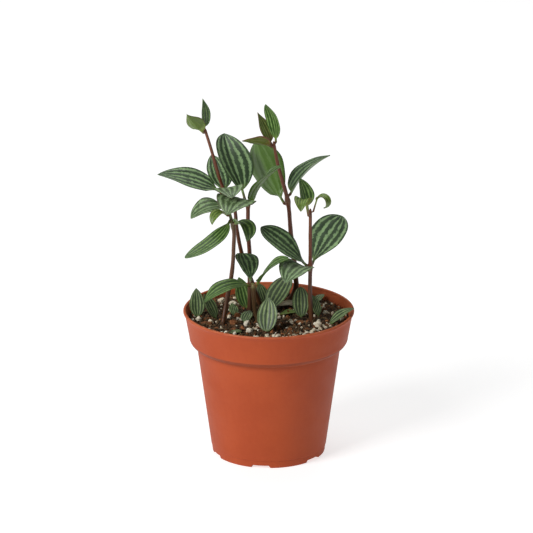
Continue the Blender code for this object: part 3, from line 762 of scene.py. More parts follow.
@dataclass
class NurseryPot:
    """The pot: a turned shell with a rolled lip, a deep collar, a foot ring with notches
    between its feet, and drainage holes. Sizes in mm, angles in degrees."""
    height: float = 94.0
    rim_radius: float = 54.0
    collar_height: float = 20.2
    collar_top_radius: float = 52.9
    collar_foot_radius: float = 50.2
    body_top_radius: float = 45.4
    body_foot_radius: float = 36.6
    band_height: float = 5.0
    band_step: float = 0.4
    foot_radius: float = 35.8
    foot_round: float = 0.6
    ring_width: float = 4.0
    hollow_radius: float = 1.4
    hollow_drop: float = 3.4
    wall: float = 1.2
    floor_recess: float = 1.6
    floor_top: float = 3.0
    lip_radius: float = 0.95
    notch_count: int = 6
    notch_width: float = 11.5
    notch_height: float = 1.8
    notch_first: float = 22.0
    drain_radius: float = 3.0
    drain_circle: float = 22.0
    around: int = 240
    spacing: float = 2.2

    def side(self, inset: float) -> np.ndarray:
        """Return the collar and body line, top to bottom: a slope, an arc in under the
        collar, and the body's slope down to the foot band.

        Args:
            inset: how far the line stands in from the outer face, mm.
        """
        shoulder = self.collar_foot_radius - self.body_top_radius
        collar_foot = self.height - self.collar_height
        bend = arc((self.body_top_radius, collar_foot + shoulder / 2), shoulder, 0, -72, 14)
        hollow_centre = (self.body_top_radius + 1.3, collar_foot - self.hollow_drop)
        hollow = arc(hollow_centre, self.hollow_radius, 95, 178, 6)
        line = np.vstack([[self.collar_top_radius, self.height - 2.6], bend, hollow,
                          [self.body_top_radius - 0.15, collar_foot - 5.0],
                          [self.body_foot_radius, self.band_height]])
        return line - np.array([inset, -0.3 * inset])

    def profile(self) -> np.ndarray:
        """Return the half section from the axis inside, over the lip, to the axis below."""
        lip_centre = (self.rim_radius - self.lip_radius, self.height - self.lip_radius)
        lip = arc(lip_centre, self.lip_radius, 205, -58, 18)
        band = self.body_foot_radius - self.band_step
        edge = self.foot_round
        inside = self.foot_radius - self.ring_width
        corner = arc((self.foot_radius - edge, edge), edge, 0, -90, 6)
        inner = arc((inside + edge, edge), edge, -90, -170, 4)
        corners = np.vstack([
            [(0.0, self.floor_top), (self.foot_radius - 2.6, self.floor_top),
             (self.foot_radius - 1.2, self.floor_top + 1.2)],
            self.side(self.wall)[::-1],
            lip,
            self.side(0.0),
            [(band, self.band_height - 0.3), (band - 0.1, 3.0)], corner, inner,
            [(inside - 0.4, self.floor_recess), (9.0, self.floor_recess),
             (8.2, 0.3), (7.7, 0.0), (0.0, 0.0)]])
        return filled(corners, self.spacing)

    def notched(self, rings: np.ndarray) -> np.ndarray:
        """Return the rings with the foot ring raised between its feet.

        The lowest height at an angle is the notch height, eased to nothing over half a
        millimetre past the half width, counted along the foot ring.
        """
        x, y, z = rings[..., 0], rings[..., 1], rings[..., 2]
        radius = np.hypot(x, y)
        pitch = 360.0 / self.notch_count
        turn = np.degrees(np.arctan2(y, x)) - self.notch_first
        off = np.radians(np.abs(turn - pitch * np.round(turn / pitch))) * self.foot_radius
        ease = np.clip((self.notch_width / 2 - off) / 0.5 + 0.5, 0.0, 1.0)
        on_ring = radius > self.foot_radius - self.ring_width - 0.3
        floor = self.notch_height * ease * on_ring
        rings = rings.copy()
        rings[..., 2] = np.maximum(z, floor * (z < self.notch_height + 0.4))
        return rings

    def drain_cutter(self) -> Surface:
        """Return the drainage holes' cylinders, one after another in one surface."""
        ring = arc((0.0, 0.0), self.drain_radius, 0, 345, 24)
        stack = np.stack([np.column_stack([ring, np.full(24, level)])
                          for level in (-2.0, 2 * self.floor_top)])
        cylinder = ring_stack(stack)
        half = 180.0 / self.notch_count
        angle = np.radians(self.notch_first + half + np.arange(self.notch_count) * 2 * half)
        shift = np.stack([np.cos(angle), np.sin(angle), 0 * angle], axis=-1)
        points = cylinder.points + shift[:, None] * self.drain_circle
        faces = repeated(cylinder.faces, len(cylinder.points), self.notch_count)
        return Surface(points.reshape(-1, 3), faces)

    def build(self, effects: Effects) -> bpy.types.Object:
        """Build the pot, cut its drainage holes and dress it."""
        shell = ring_stack(self.notched(turned(self.profile()[1:-1], self.around)))
        shell.points[-2:, 2] = (self.floor_top, 0.0)
        blank = linked("pot_blank", shell.outward().mesh("pot_blank"))
        cutter = linked("drain_cutter", self.drain_cutter().mesh("drains"))
        cut = blank.modifiers.new("drains", "BOOLEAN")
        cut.operation = "DIFFERENCE"
        cut.solver = "EXACT"
        cut.object = cutter
        evaluated = blank.evaluated_get(bpy.context.evaluated_depsgraph_get())
        mesh = bpy.data.meshes.new_from_object(evaluated)
        for item in (blank, cutter):
            bpy.data.objects.remove(item, do_unlink=True)
        mesh.name = "pot_shell"
        mesh.materials.clear()
        mesh.set_sharp_from_angle(angle=math.radians(42.0))
        return add_piece("pot_shell", mesh, PlasticFinish().material(effects),
                         "pot_plastic", "pot")

    def inner_radius(self, height: Union[float, np.ndarray]) -> np.ndarray:
        """Return the wall's inner radius at a height."""
        line = self.side(self.wall)[::-1]
        return np.interp(height, line[:, 1], line[:, 0])


# ---------------------------------------------------------------- soil mix

@dataclass(frozen=True)
class Grain:
    """A loose grain that is its own CAD node: its node, place and half sizes, mm."""
    node: str
    place: tuple[float, float]
    halves: tuple[float, float, float]


GRAINS = [
    Grain("perlite_1", (-44.0, -6.0), (1.9, 1.6, 1.8)),
    Grain("perlite_2", (-30.0, 31.0), (2.4, 1.9, 1.7)),
    Grain("perlite_3", (-23.0, 25.0), (2.3, 2.0, 1.9)),
    Grain("perlite_4", (-14.0, -17.0), (2.0, 1.8, 2.2)),
    Grain("perlite_5", (-12.0, -28.0), (2.3, 1.6, 1.8)),
    Grain("perlite_6", (31.0, -18.0), (2.1, 2.1, 2.0)),
    Grain("bark_1", (-39.0, -12.0), (3.4, 1.9, 1.3)),
    Grain("bark_2", (-22.0, -12.0), (2.7, 2.3, 2.0)),
    Grain("bark_3", (-20.0, -1.0), (1.9, 1.5, 1.4)),
    Grain("bark_4", (20.0, -10.0), (2.6, 1.4, 1.2)),
]


@dataclass
class SoilMix:
    """The soil: a lumpy filled body, and the crumbs, bark, perlite and fibres on it."""
    pot: NurseryPot
    gap: float = 0.3
    around: int = 320
    rows: int = 110
    lump: float = 7.0
    lump_height: float = 0.85
    crumbs: int = 3400
    chips: int = 300
    beads: int = 330
    fibres: int = 420
    fibre_length: tuple[float, float] = (3.0, 9.0)
    fibre_hump: tuple[float, float] = (0.3, 2.6)
    fibre_radius: tuple[float, float] = (0.09, 0.2)
    wall_margin: float = 1.8
    front_heading: float = 275.0
    front_reach: float = 49.0
    seed: int = 11

    def level(self, place: np.ndarray) -> np.ndarray:
        """Return the surface's height at places (..., 2): a low crown, plus lumps that
        are layered noise and fade out at the wall."""
        radius = np.hypot(place[..., 0], place[..., 1])
        spot = np.stack([place[..., 0], place[..., 1], 0 * radius], axis=-1)
        lumps = self.lump_height * layered_noise(spot, self.lump, 4, self.seed)
        return soil_crown(radius) + lumps * np.clip((SOIL_EDGE_RADIUS - radius) / 3.0, 0.3, 1.0)

    def body(self) -> Surface:
        """Return the filled body: its lumpy top, its side along the wall, its underside."""
        edge = float(self.pot.inner_radius(SOIL_EDGE_TOP)) - self.gap
        radius = edge * np.linspace(0.0, 1.0, self.rows + 1)[1:]
        top = turned(np.stack([radius, 0 * radius], axis=-1), self.around)
        top[..., 2] = self.level(top[..., :2])
        depth = np.linspace(SOIL_EDGE_TOP - 2.5, self.pot.floor_top + 2.0, 40)
        wall = np.stack([self.pot.inner_radius(depth) - self.gap, depth], axis=-1)
        under = [(self.pot.foot_radius - 4.0, self.pot.floor_top + self.gap),
                 (2.0, self.pot.floor_top + self.gap)]
        sides = turned(np.vstack([wall, under]), self.around)
        rings = np.concatenate([top, sides])
        tone = 0.25 + 0.25 * layered_noise(rings, 3.0, 2, self.seed + 5)
        surface = ring_stack(rings, {"tone": tone})
        surface.points[-2, 2] = self.level(np.zeros(2))
        return surface

    def spread(self, rng: np.random.Generator, count: int, front: float) -> np.ndarray:
        """Return random places on the soil, a share of them crowded along the front wall.

        Args:
            rng: the random source.
            count: how many places.
            front: the share that lies near the front wall.

        Returns:
            Places, shape (count, 2), mm.
        """
        angle = rng.uniform(0.0, 2.0 * math.pi, count)
        radius = (SOIL_EDGE_RADIUS - self.wall_margin) * np.sqrt(rng.uniform(0.0, 1.0, count))
        crowded = rng.uniform(size=count) < front
        ahead = math.radians(self.front_heading) + rng.normal(0.0, 0.62, count)
        angle = np.where(crowded, ahead, angle)
        outer = rng.uniform(0.72, 1.0, count) * self.front_reach
        radius = np.where(crowded, outer, radius)
        return np.stack([radius * np.cos(angle), radius * np.sin(angle)], axis=-1)

    def heap(self, rng: np.random.Generator, places: np.ndarray, halves: np.ndarray,
             shape: tuple[int, int], rough: float, sunk: float) -> Surface:
        """Return many small lumps as one surface: balls, pushed in and out by noise,
        scaled, turned at random and set on the soil.

        Args:
            rng: the random source.
            places: where they lie, shape (n, 2), mm.
            halves: half sizes along their own axes, shape (n, 3), mm.
            shape: rows and meridians of each ball.
            rough: how far noise moves their points, as a share.
            sunk: how deep they sit, as a share of their smallest half size.

        Returns:
            One surface with a tone for each lump.
        """
        points, faces = ball(*shape)
        count = len(places)
        offset = rng.uniform(-90.0, 90.0, (count, 1, 3))
        bump = 1.0 + rough * lattice_noise(points * 1.4 + offset, self.seed)
        lumps = points * bump[..., None] * halves[:, None]
        lumps = np.einsum("nij,npj->npi", random_turns(rng, count), lumps)
        base = self.level(places) + halves.min(axis=1) * (1.0 - 2.0 * sunk)
        lumps += np.column_stack([places, base])[:, None]
        faces = repeated(faces, len(points), count)
        tone = np.repeat(rng.uniform(0.0, 1.0, count), len(points))
        return Surface(lumps.reshape(-1, 3), faces, {"tone": tone})

    def strands(self, rng: np.random.Generator, steps: int = 7) -> Surface:
        """Return loose fibres: thin three-sided tubes along bowed lines on the soil.

        Each centre line is a start, plus its length times a heading that turns steadily,
        with a low hump in height; each ring is a triangle about it.
        """
        count = self.fibres
        start = self.spread(rng, count, 0.2)
        length = rng.uniform(*self.fibre_length, count)
        share = np.linspace(0.0, 1.0, steps)
        heading = rng.uniform(0.0, 2.0 * math.pi, (count, 1))
        heading = heading + share * rng.normal(0.0, 1.1, (count, 1))
        stride = length[:, None] / (steps - 1)
        line = np.stack([np.cumsum(np.cos(heading) * stride, axis=1),
                         np.cumsum(np.sin(heading) * stride, axis=1)], axis=-1)
        line += (start - line.mean(axis=1))[:, None]
        reach = np.hypot(line[..., 0], line[..., 1])[..., None]
        line *= np.minimum(1.0, (SOIL_EDGE_RADIUS - 1.0) / reach)
        hump = rng.uniform(*self.fibre_hump, (count, 1)) * np.sin(math.pi * share)
        level = self.level(line).mean(axis=1, keepdims=True) + 0.7 + hump
        centre = np.concatenate([line, level[..., None]], axis=-1)
        turn = np.arange(3) * 2.0 * math.pi / 3.0
        thin = rng.uniform(*self.fibre_radius, (count, 1, 1)) * np.cos(share * 2.4 - 1.2)[:, None]
        side = np.stack([-np.sin(heading), np.cos(heading), 0 * heading], axis=-1)
        ring = (centre[:, :, None] + side[:, :, None] * (thin * np.cos(turn))[..., None]
                + np.array([0.0, 0.0, 1.0]) * (thin * np.sin(turn))[..., None])
        one = ring_stack(ring[0])
        poles = ring[:, [0, -1]].mean(axis=2)
        points = np.concatenate([ring.reshape(count, -1, 3), poles], axis=1)
        faces = repeated(one.faces, points.shape[1], count)
        tone = np.repeat(rng.uniform(0.0, 1.0, count), points.shape[1])
        return Surface(points.reshape(-1, 3), faces, {"tone": tone}).outward()

    def loose_grain(self, grain: Grain, index: int) -> Surface:
        """Return a large grain: a fine ball with layered lumps and pits, on the soil."""
        points, faces = ball(26, 36)
        place = points * 1.3 + np.array([3.7 * index, 0.0, 0.0])
        bump = 1.0 + 0.3 * layered_noise(place, 1.0, 4, self.seed + index)
        lump = points * bump[:, None] * np.array(grain.halves)
        x, y = grain.place
        base = float(self.level(np.array(grain.place))) - 0.35 - lump[:, 2].min()
        tone = np.full(len(points), 0.6 + 0.3 * math.sin(5.0 * index))
        return Surface(lump + np.array([x, y, base]), faces, {"tone": tone})

    def build(self, effects: Effects) -> None:
        """Build and dress the body and everything that lies on it."""
        rng = np.random.default_rng(self.seed)
        earth = MixFinish("potting_soil", srgb(18, 12, 6), srgb(70, 48, 30),
                          srgb(104, 78, 52), 0.9, 0.6).material(effects)
        crumb = MixFinish("peat_crumbs", srgb(16, 10, 5), srgb(104, 76, 50),
                          srgb(150, 122, 86), 0.5, 0.3).material(effects)
        bark = MixFinish("bark_chips", srgb(74, 40, 20), srgb(170, 106, 62),
                         srgb(206, 150, 100), 0.8, 0.35).material(effects)
        perlite = MixFinish("perlite", srgb(214, 198, 164), srgb(252, 244, 224),
                            srgb(166, 144, 104), 0.6, 0.3).material(effects)
        fibre = MixFinish("peat_fibres", srgb(48, 32, 20), srgb(168, 142, 100),
                          srgb(86, 62, 40), 0.5, 0.05).material(effects)
        add_piece("soil_body", self.body().mesh("soil_body"), earth, "potting_soil", "soil")
        sizes = rng.uniform(0.4, 1.25, (self.crumbs, 1))
        sizes = sizes * rng.uniform(0.5, 1.2, (self.crumbs, 3))
        heap = self.heap(rng, self.spread(rng, self.crumbs, 0.12), sizes, (3, 5), 0.5, 0.3)
        add_piece("soil_crumbs", heap.mesh("soil_crumbs", 30.0), crumb, "potting_soil")
        sizes = rng.uniform(0.7, 2.3, (self.chips, 1)) * np.array([1.0, 0.6, 0.38])
        heap = self.heap(rng, self.spread(rng, self.chips, 0.1), sizes, (4, 7), 0.6, 0.15)
        add_piece("bark_chips", heap.mesh("bark_chips", 30.0), bark, "bark")
        sizes = 0.55 + 0.95 * rng.uniform(0.0, 1.0, (self.beads, 1)) ** 2
        sizes = sizes * rng.uniform(0.75, 1.2, (self.beads, 3))
        heap = self.heap(rng, self.spread(rng, self.beads, 0.42), sizes, (4, 7), 0.45, 0.1)
        add_piece("perlite_beads", heap.mesh("perlite_beads", 35.0), perlite, "perlite")
        add_piece("peat_fibres", self.strands(rng).mesh("peat_fibres"), fibre,
                  "potting_soil")
        for index, grain in enumerate(GRAINS):
            white = grain.node.startswith("perlite")
            name = grain.node + "_grain"
            add_piece(name, self.loose_grain(grain, index).mesh(name),
                      perlite if white else bark, "perlite" if white else "bark", grain.node)


# ---------------------------------------------------------------- stems

@dataclass(frozen=True)
class Stem:
    """A stem: its route upward, its radius at the soil and at the tip, its node heights.

    Sizes in mm. The skin is a tube whose radius tapers evenly and swells at each node.
    """
    node: str
    route: tuple
    radius: tuple[float, float]
    joints: tuple[float, ...]
    finish: StemFinish = StemFinish("red_stem")
    around: int = 24
    step: float = 0.9
    swell: float = 0.4
    swell_length: float = 2.5
    buried: float = 7.0

    def line(self, spacing: float) -> np.ndarray:
        """Return points on a smooth curve through the route, about one spacing apart.

        Each stretch between two route points is a cubic whose slopes at its ends are half
        the step from the point before to the point after.
        """
        points = np.array(self.route, dtype=float)
        padded = np.vstack([2 * points[0] - points[1], points, 2 * points[-1] - points[-2]])
        runs = []
        for before, start, end, after in zip(padded, padded[1:], padded[2:], padded[3:]):
            count = max(1, round(float(np.linalg.norm(end - start)) / spacing))
            t = (np.arange(count) / count)[:, None]
            runs.append(0.5 * (2 * start + (end - before) * t
                               + (2 * before - 5 * start + 4 * end - after) * t ** 2
                               + (3 * start - before - 3 * end + after) * t ** 3))
        return np.vstack([*runs, points[-1:]])

    def centre_at(self, height: float) -> np.ndarray:
        """Return the centre of the stem at a height."""
        line = self.line(self.step)
        return np.array([np.interp(height, line[:, 2], line[:, axis]) for axis in range(3)])

    def swelling(self, height: np.ndarray) -> np.ndarray:
        """Return how much the stem swells at a height: a bell round each joint."""
        joints = np.array(self.joints)
        bells = np.exp(-((np.asarray(height)[..., None] - joints) / self.swell_length) ** 2)
        return np.minimum(bells.sum(axis=-1), 1.0)

    def radius_at(self, height: np.ndarray) -> np.ndarray:
        """Return the radius at a height."""
        plain = np.interp(height, (self.route[0][2], self.route[-1][2]), self.radius)
        return plain * (1.0 + self.swell * self.swelling(height))

    def build(self, effects: Effects, material: bpy.types.Material) -> bpy.types.Object:
        """Build the stem as rings square to its line, closed at both ends."""
        line = self.line(self.step)
        root = line[0] - np.array([0.0, 0.0, 1.0]) * np.linspace(self.buried, 1.0, 6)[:, None]
        line = np.vstack([root, line])
        direction = np.gradient(line, axis=0)
        direction /= np.linalg.norm(direction, axis=1, keepdims=True)
        across = np.cross(direction, (0.0, 1.0, 0.0))
        across /= np.linalg.norm(across, axis=1, keepdims=True)
        normal = np.cross(direction, across)
        turn = np.arange(self.around) * 2.0 * math.pi / self.around
        out = (across[:, None] * np.cos(turn)[:, None] + normal[:, None] * np.sin(turn)[:, None])
        height = line[:, 2]
        radius = self.radius_at(height)
        ends = np.array([0.94, 0.75, 0.4])
        radius[-3:] *= ends
        seed = sum(map(ord, self.node))
        grain = layered_noise(line[:, None] + out * 1.2, 5.0, 3, seed)
        rings = line[:, None] + out * (radius[:, None] * (1.0 + 0.07 * grain))[..., None]
        share = np.interp(height, (self.route[0][2], self.route[-1][2]), (0.0, 1.0))
        shape = rings.shape[:2]
        growth = np.stack([np.broadcast_to(share[:, None], shape),
                           np.broadcast_to(self.swelling(height)[:, None], shape),
                           np.zeros(shape)], axis=-1)
        skin = np.concatenate([np.broadcast_to(
            np.stack([np.cos(turn), np.sin(turn)], axis=-1), (*shape, 2)),
            np.broadcast_to((height + seed)[:, None, None], (*shape, 1))], axis=-1)
        surface = ring_stack(rings, {"growth": growth, "skin": skin})
        name = self.node + "_skin"
        return add_piece(name, surface.mesh(name), material, "red_stem", self.node)


PALE_STEM = StemFinish("pale_stem", srgb(88, 58, 34), srgb(118, 88, 56),
                       srgb(124, 130, 70), srgb(150, 138, 92))
GREEN_TOPPED = StemFinish("green_topped_stem", srgb(98, 56, 28), srgb(106, 60, 30),
                          srgb(100, 122, 46), srgb(120, 98, 58))

STEMS = [
    Stem("stem_left_front",
         ((-29, -11, 88), (-26, -6, 103.9), (-23, -4, 120.9), (-22, -4, 136.8),
          (-22, -5, 148.7), (-25, -6, 160.7)), (1.5, 1.1), (150.7,), GREEN_TOPPED),
    Stem("stem_left_tall",
         ((-5, 21, 88), (-12, 19, 109.3), (-17, 16, 125.2), (-20, 9, 144.0),
          (-22, 6, 160.9), (-29, 4, 173.8), (-36, 3, 198.6), (-40, 2, 212.6)),
         (1.5, 0.9), (169.8,)),
    Stem("stem_middle",
         ((-12, 10, 88), (-12, 13, 107.2), (-12, 12, 124.1), (-13, 8, 144.0),
          (-13, 4, 163.8)), (1.5, 1.2), (161.8,)),
    Stem("stem_short_front",
         ((-7, -7, 88), (-9, -7, 97.0), (-10, -8, 113.9)), (1.2, 1.5), (112.9,), PALE_STEM),
    Stem("stem_right_tall",
         ((12, 28, 88), (17, 30, 96.6), (17, 29, 107.5), (14, 24, 136.3), (12, 20, 159.1),
          (6, 17, 182.9), (3, 15, 199.8)), (1.8, 1.0), (159.1,)),
    Stem("stem_right_front",
         ((27, -7, 88), (26, -6, 103.9), (26, -6, 123.8), (26, -5, 143.8), (26, -4, 161.7)),
         (1.5, 1.0), (123.8,)),
]


# ---------------------------------------------------------------- leaves

@dataclass(frozen=True)
class Leaf:
    """A leaf: where its stalk starts, the way it heads and rises, and its blade's form.

    foot is (stem, height) on a stem, or (x, y) in the soil. heading turns from +X towards
    +Y, rise is above level, arch is how far the blade bends down along its length, sway
    how far it swings sideways, roll its turn about its midrib and fold how steeply its
    halves rise from the midrib, in degrees; stalk, length and width are in mm. form holds
    the powers that round off the blade's base and its tip.
    """
    node: str
    kind: LeafKind
    foot: tuple
    heading: float
    rise: float
    stalk: float
    length: float
    width: float
    arch: float = 20.0
    sway: float = 0.0
    roll: float = 0.0
    fold: float = 10.0
    form: tuple[float, float] = (0.62, 0.85)
    slot: str = "leaf"

    def seed(self) -> int:
        """Return a number of the leaf's own for its noise."""
        return sum(map(ord, self.node)) % 97

    def stalk_radius(self) -> float:
        """Return the stalk's radius, mm, which is less on a narrow leaf."""
        return min(0.85, 0.07 * self.width)

    def outline(self, share: np.ndarray) -> np.ndarray:
        """Return the blade's half width along it, as a share of its widest: a power of
        the share from its base times a power of the share left to its tip."""
        base, tip = self.form
        widest = base / (base + tip)
        peak = widest ** base * (1.0 - widest) ** tip
        return share ** base * (1.0 - share) ** tip / peak

    def rooted(self) -> bool:
        """Return whether the leaf rises from the soil."""
        return not isinstance(self.foot[0], str)


@dataclass
class Foliage:
    """Grows leaves: each is a closed loft of its stalk and its blade."""
    effects: Effects
    stems: dict[str, Stem]
    rings: int = 60
    across: int = 40
    stalk_rings: int = 7
    root_depth: float = 4.0
    stalk_gap: float = 0.4
    half_thickness: float = 0.34
    vein_depth: float = 0.011
    ripple: float = 0.018
    soft_fold: float = 0.14
    swollen_share: float = 0.35
    foot_flare: float = 0.35
    roll_speed: float = 6.0
    vein_edge: float = 0.97
    materials: dict[LeafKind, bpy.types.Material] = field(default_factory=dict)

    def start(self, leaf: Leaf) -> tuple[np.ndarray, np.ndarray]:
        """Return where a leaf's stalk starts inside its stem or the soil, and the point
        just outside the stem where the stalk proper begins."""
        if leaf.rooted():
            x, y = leaf.foot
            foot = np.array([x, y, soil_crown(math.hypot(x, y))])
            return foot - np.array([0.0, 0.0, self.root_depth]), foot
        stem = self.stems[leaf.foot[0]]
        height = leaf.foot[1]
        centre = stem.centre_at(height)
        axis = centre - stem.centre_at(height - 2.0)
        axis /= np.linalg.norm(axis)
        heading = math.radians(leaf.heading)
        outward = np.array([math.cos(heading), math.sin(heading), 0.0])
        outward -= axis * outward.dot(axis)
        outward /= np.linalg.norm(outward)
        steep = abs(math.sin(math.radians(leaf.rise)))
        reach = float(stem.radius_at(height)) + self.stalk_gap + leaf.stalk_radius() * steep
        return centre - np.array([0.0, 0.0, 0.8]), centre + outward * reach

    def midrib(self, leaf: Leaf) -> tuple[np.ndarray, np.ndarray, np.ndarray, np.ndarray]:
        """Return the leaf's centre line from its root to its tip.

        Along the blade the pitch is the rise less the arch times the share, the heading
        turns by the sway times the share, and the line is the running sum of steps along
        the direction half way between neighbouring rings.

        Returns:
            Centres, directions, headings and the share along the blade, which is negative
            on the stalk, down to -1 at its foot.
        """
        root, foot = self.start(leaf)
        t = np.linspace(0.0, 1.0, self.rings)
        share = (1.0 - np.cos(math.pi * t)) / 2.0
        stalk = np.linspace(-1.0, 0.0, self.stalk_rings, endpoint=False)
        along = np.concatenate([stalk, share])
        bend = np.clip(along, 0.0, 1.0)
        pitch = leaf.rise - leaf.arch * bend
        if leaf.rooted():
            pitch += (90.0 - leaf.rise) * np.clip(-along, 0.0, 1.0)
        pitch = np.radians(pitch)
        heading = np.radians(leaf.heading + leaf.sway * bend)
        direction = np.stack([np.cos(pitch) * np.cos(heading),
                              np.cos(pitch) * np.sin(heading), np.sin(pitch)], axis=-1)
        metre = np.where(along < 0.0, along * leaf.stalk, along * leaf.length)
        steps = np.diff(metre)[:, None] * (direction[1:] + direction[:-1]) / 2.0
        line = foot + np.vstack([np.zeros(3), np.cumsum(steps, axis=0)])
        lead = root + (foot - root) * np.array([[0.0], [0.35], [0.7]])
        return (np.vstack([lead, line]), np.vstack([direction[[0] * 3], direction]),
                np.concatenate([heading[[0] * 3], heading]),
                np.concatenate([[-1.0] * 3, along]))

    def blade(self, leaf: Leaf) -> Surface:
        """Return the closed surface of a leaf.

        Each ring is an ellipse whose half width is the stalk's radius and the outline
        added as the sides of a right angle. Its middle line rises with the distance from
        the midrib by the fold, sinks at each vein, and ripples towards the edge.
        """
        centre, direction, heading, along = self.midrib(leaf)
        share = np.clip(along, 0.0, 1.0)
        columns = self.across if leaf.width > 12.0 else self.across * 3 // 4
        even = np.linspace(1.0, -1.0, columns + 1)
        top = 0.75 * even + 0.25 * np.sin(even * math.pi / 2)
        v = np.concatenate([top, top[-2:0:-1]])
        side = np.concatenate([np.ones(columns + 1), -np.ones(columns - 1)])
        side[[0, columns]] = 0.0
        level = np.stack([-np.sin(heading), np.cos(heading), 0 * heading], axis=-1)
        upward = np.cross(direction, level)
        roll = np.radians(leaf.roll) * np.minimum(share * self.roll_speed, 1.0)[:, None]
        across = level * np.cos(roll) + upward * np.sin(roll)
        normal = np.cross(direction, across)
        stalk = leaf.stalk_radius()
        half = leaf.width / 2.0 * leaf.outline(share)
        near = np.clip(1.0 - share / self.swollen_share, 0.0, 1.0) ** 2
        flare = 1.0 + self.foot_flare * np.clip(-along - 0.5, 0.0, 0.5)
        half_width = np.hypot(stalk * (1.0 - share), half) * flare
        depth = (self.half_thickness + (stalk - self.half_thickness) * near) * flare
        fold = math.radians(leaf.fold)
        soft = self.soft_fold
        crease = (np.sqrt(v * v + soft * soft) - soft) / (math.hypot(1.0, soft) - soft)
        grown = np.sin(math.pi * share)[:, None] ** 0.6
        pitch = leaf.kind.value.pitch
        groove = (0.5 + 0.5 * np.cos(2.0 * math.pi * v / pitch)) * (np.abs(v) < self.vein_edge)
        phase = leaf.seed()
        wave = np.sin(share[:, None] * (9.0 + phase % 5) + phase + 1.6 * np.sign(v))
        lift = (half[:, None] * crease * math.sin(fold)
                - leaf.width * self.vein_depth * groove * grown
                + leaf.width * self.ripple * wave * np.abs(v) ** 3 * grown)
        raised = lift + depth[:, None] * side_height(v, side)
        sideways = half_width[:, None] * v * math.cos(fold)
        points = (centre[:, None] + across[:, None] * sideways[..., None]
                  + normal[:, None] * raised[..., None])
        shape = raised.shape
        place = np.stack([np.broadcast_to(v, shape), np.broadcast_to(along[:, None], shape),
                          np.broadcast_to(side, shape)], axis=-1)
        grain = np.stack([half[:, None] * v, np.broadcast_to(
            (along * leaf.length)[:, None], shape), np.full(shape, 7.3 * phase)], axis=-1)
        return ring_stack(points, {"blade": place, "blade_mm": grain})

    def grow(self, leaf: Leaf) -> bpy.types.Object:
        """Build and dress one leaf."""
        if leaf.kind not in self.materials:
            self.materials[leaf.kind] = leaf.kind.value.material(self.effects)
        name = leaf.node + "_blade"
        return add_piece(name, self.blade(leaf).mesh(name), self.materials[leaf.kind],
                         leaf.slot, leaf.node)


def side_height(v: np.ndarray, side: np.ndarray) -> np.ndarray:
    """Return the height of an ellipse's rim over its middle, up on top and down below."""
    return side * np.sqrt(np.clip(1.0 - v * v, 0.0, 1.0))


MATURE, PAINTED_SHEEN, FRESH = LeafKind.MATURE, LeafKind.PAINTED_SHEEN, LeafKind.FRESH
BACKLIT, TIP_RED, TIP_GREEN = LeafKind.BACKLIT, LeafKind.TIP_RED, LeafKind.TIP_GREEN
LOW, PENCILLED = LeafKind.LOW, LeafKind.PENCILLED
YOUNG = "young_leaf"

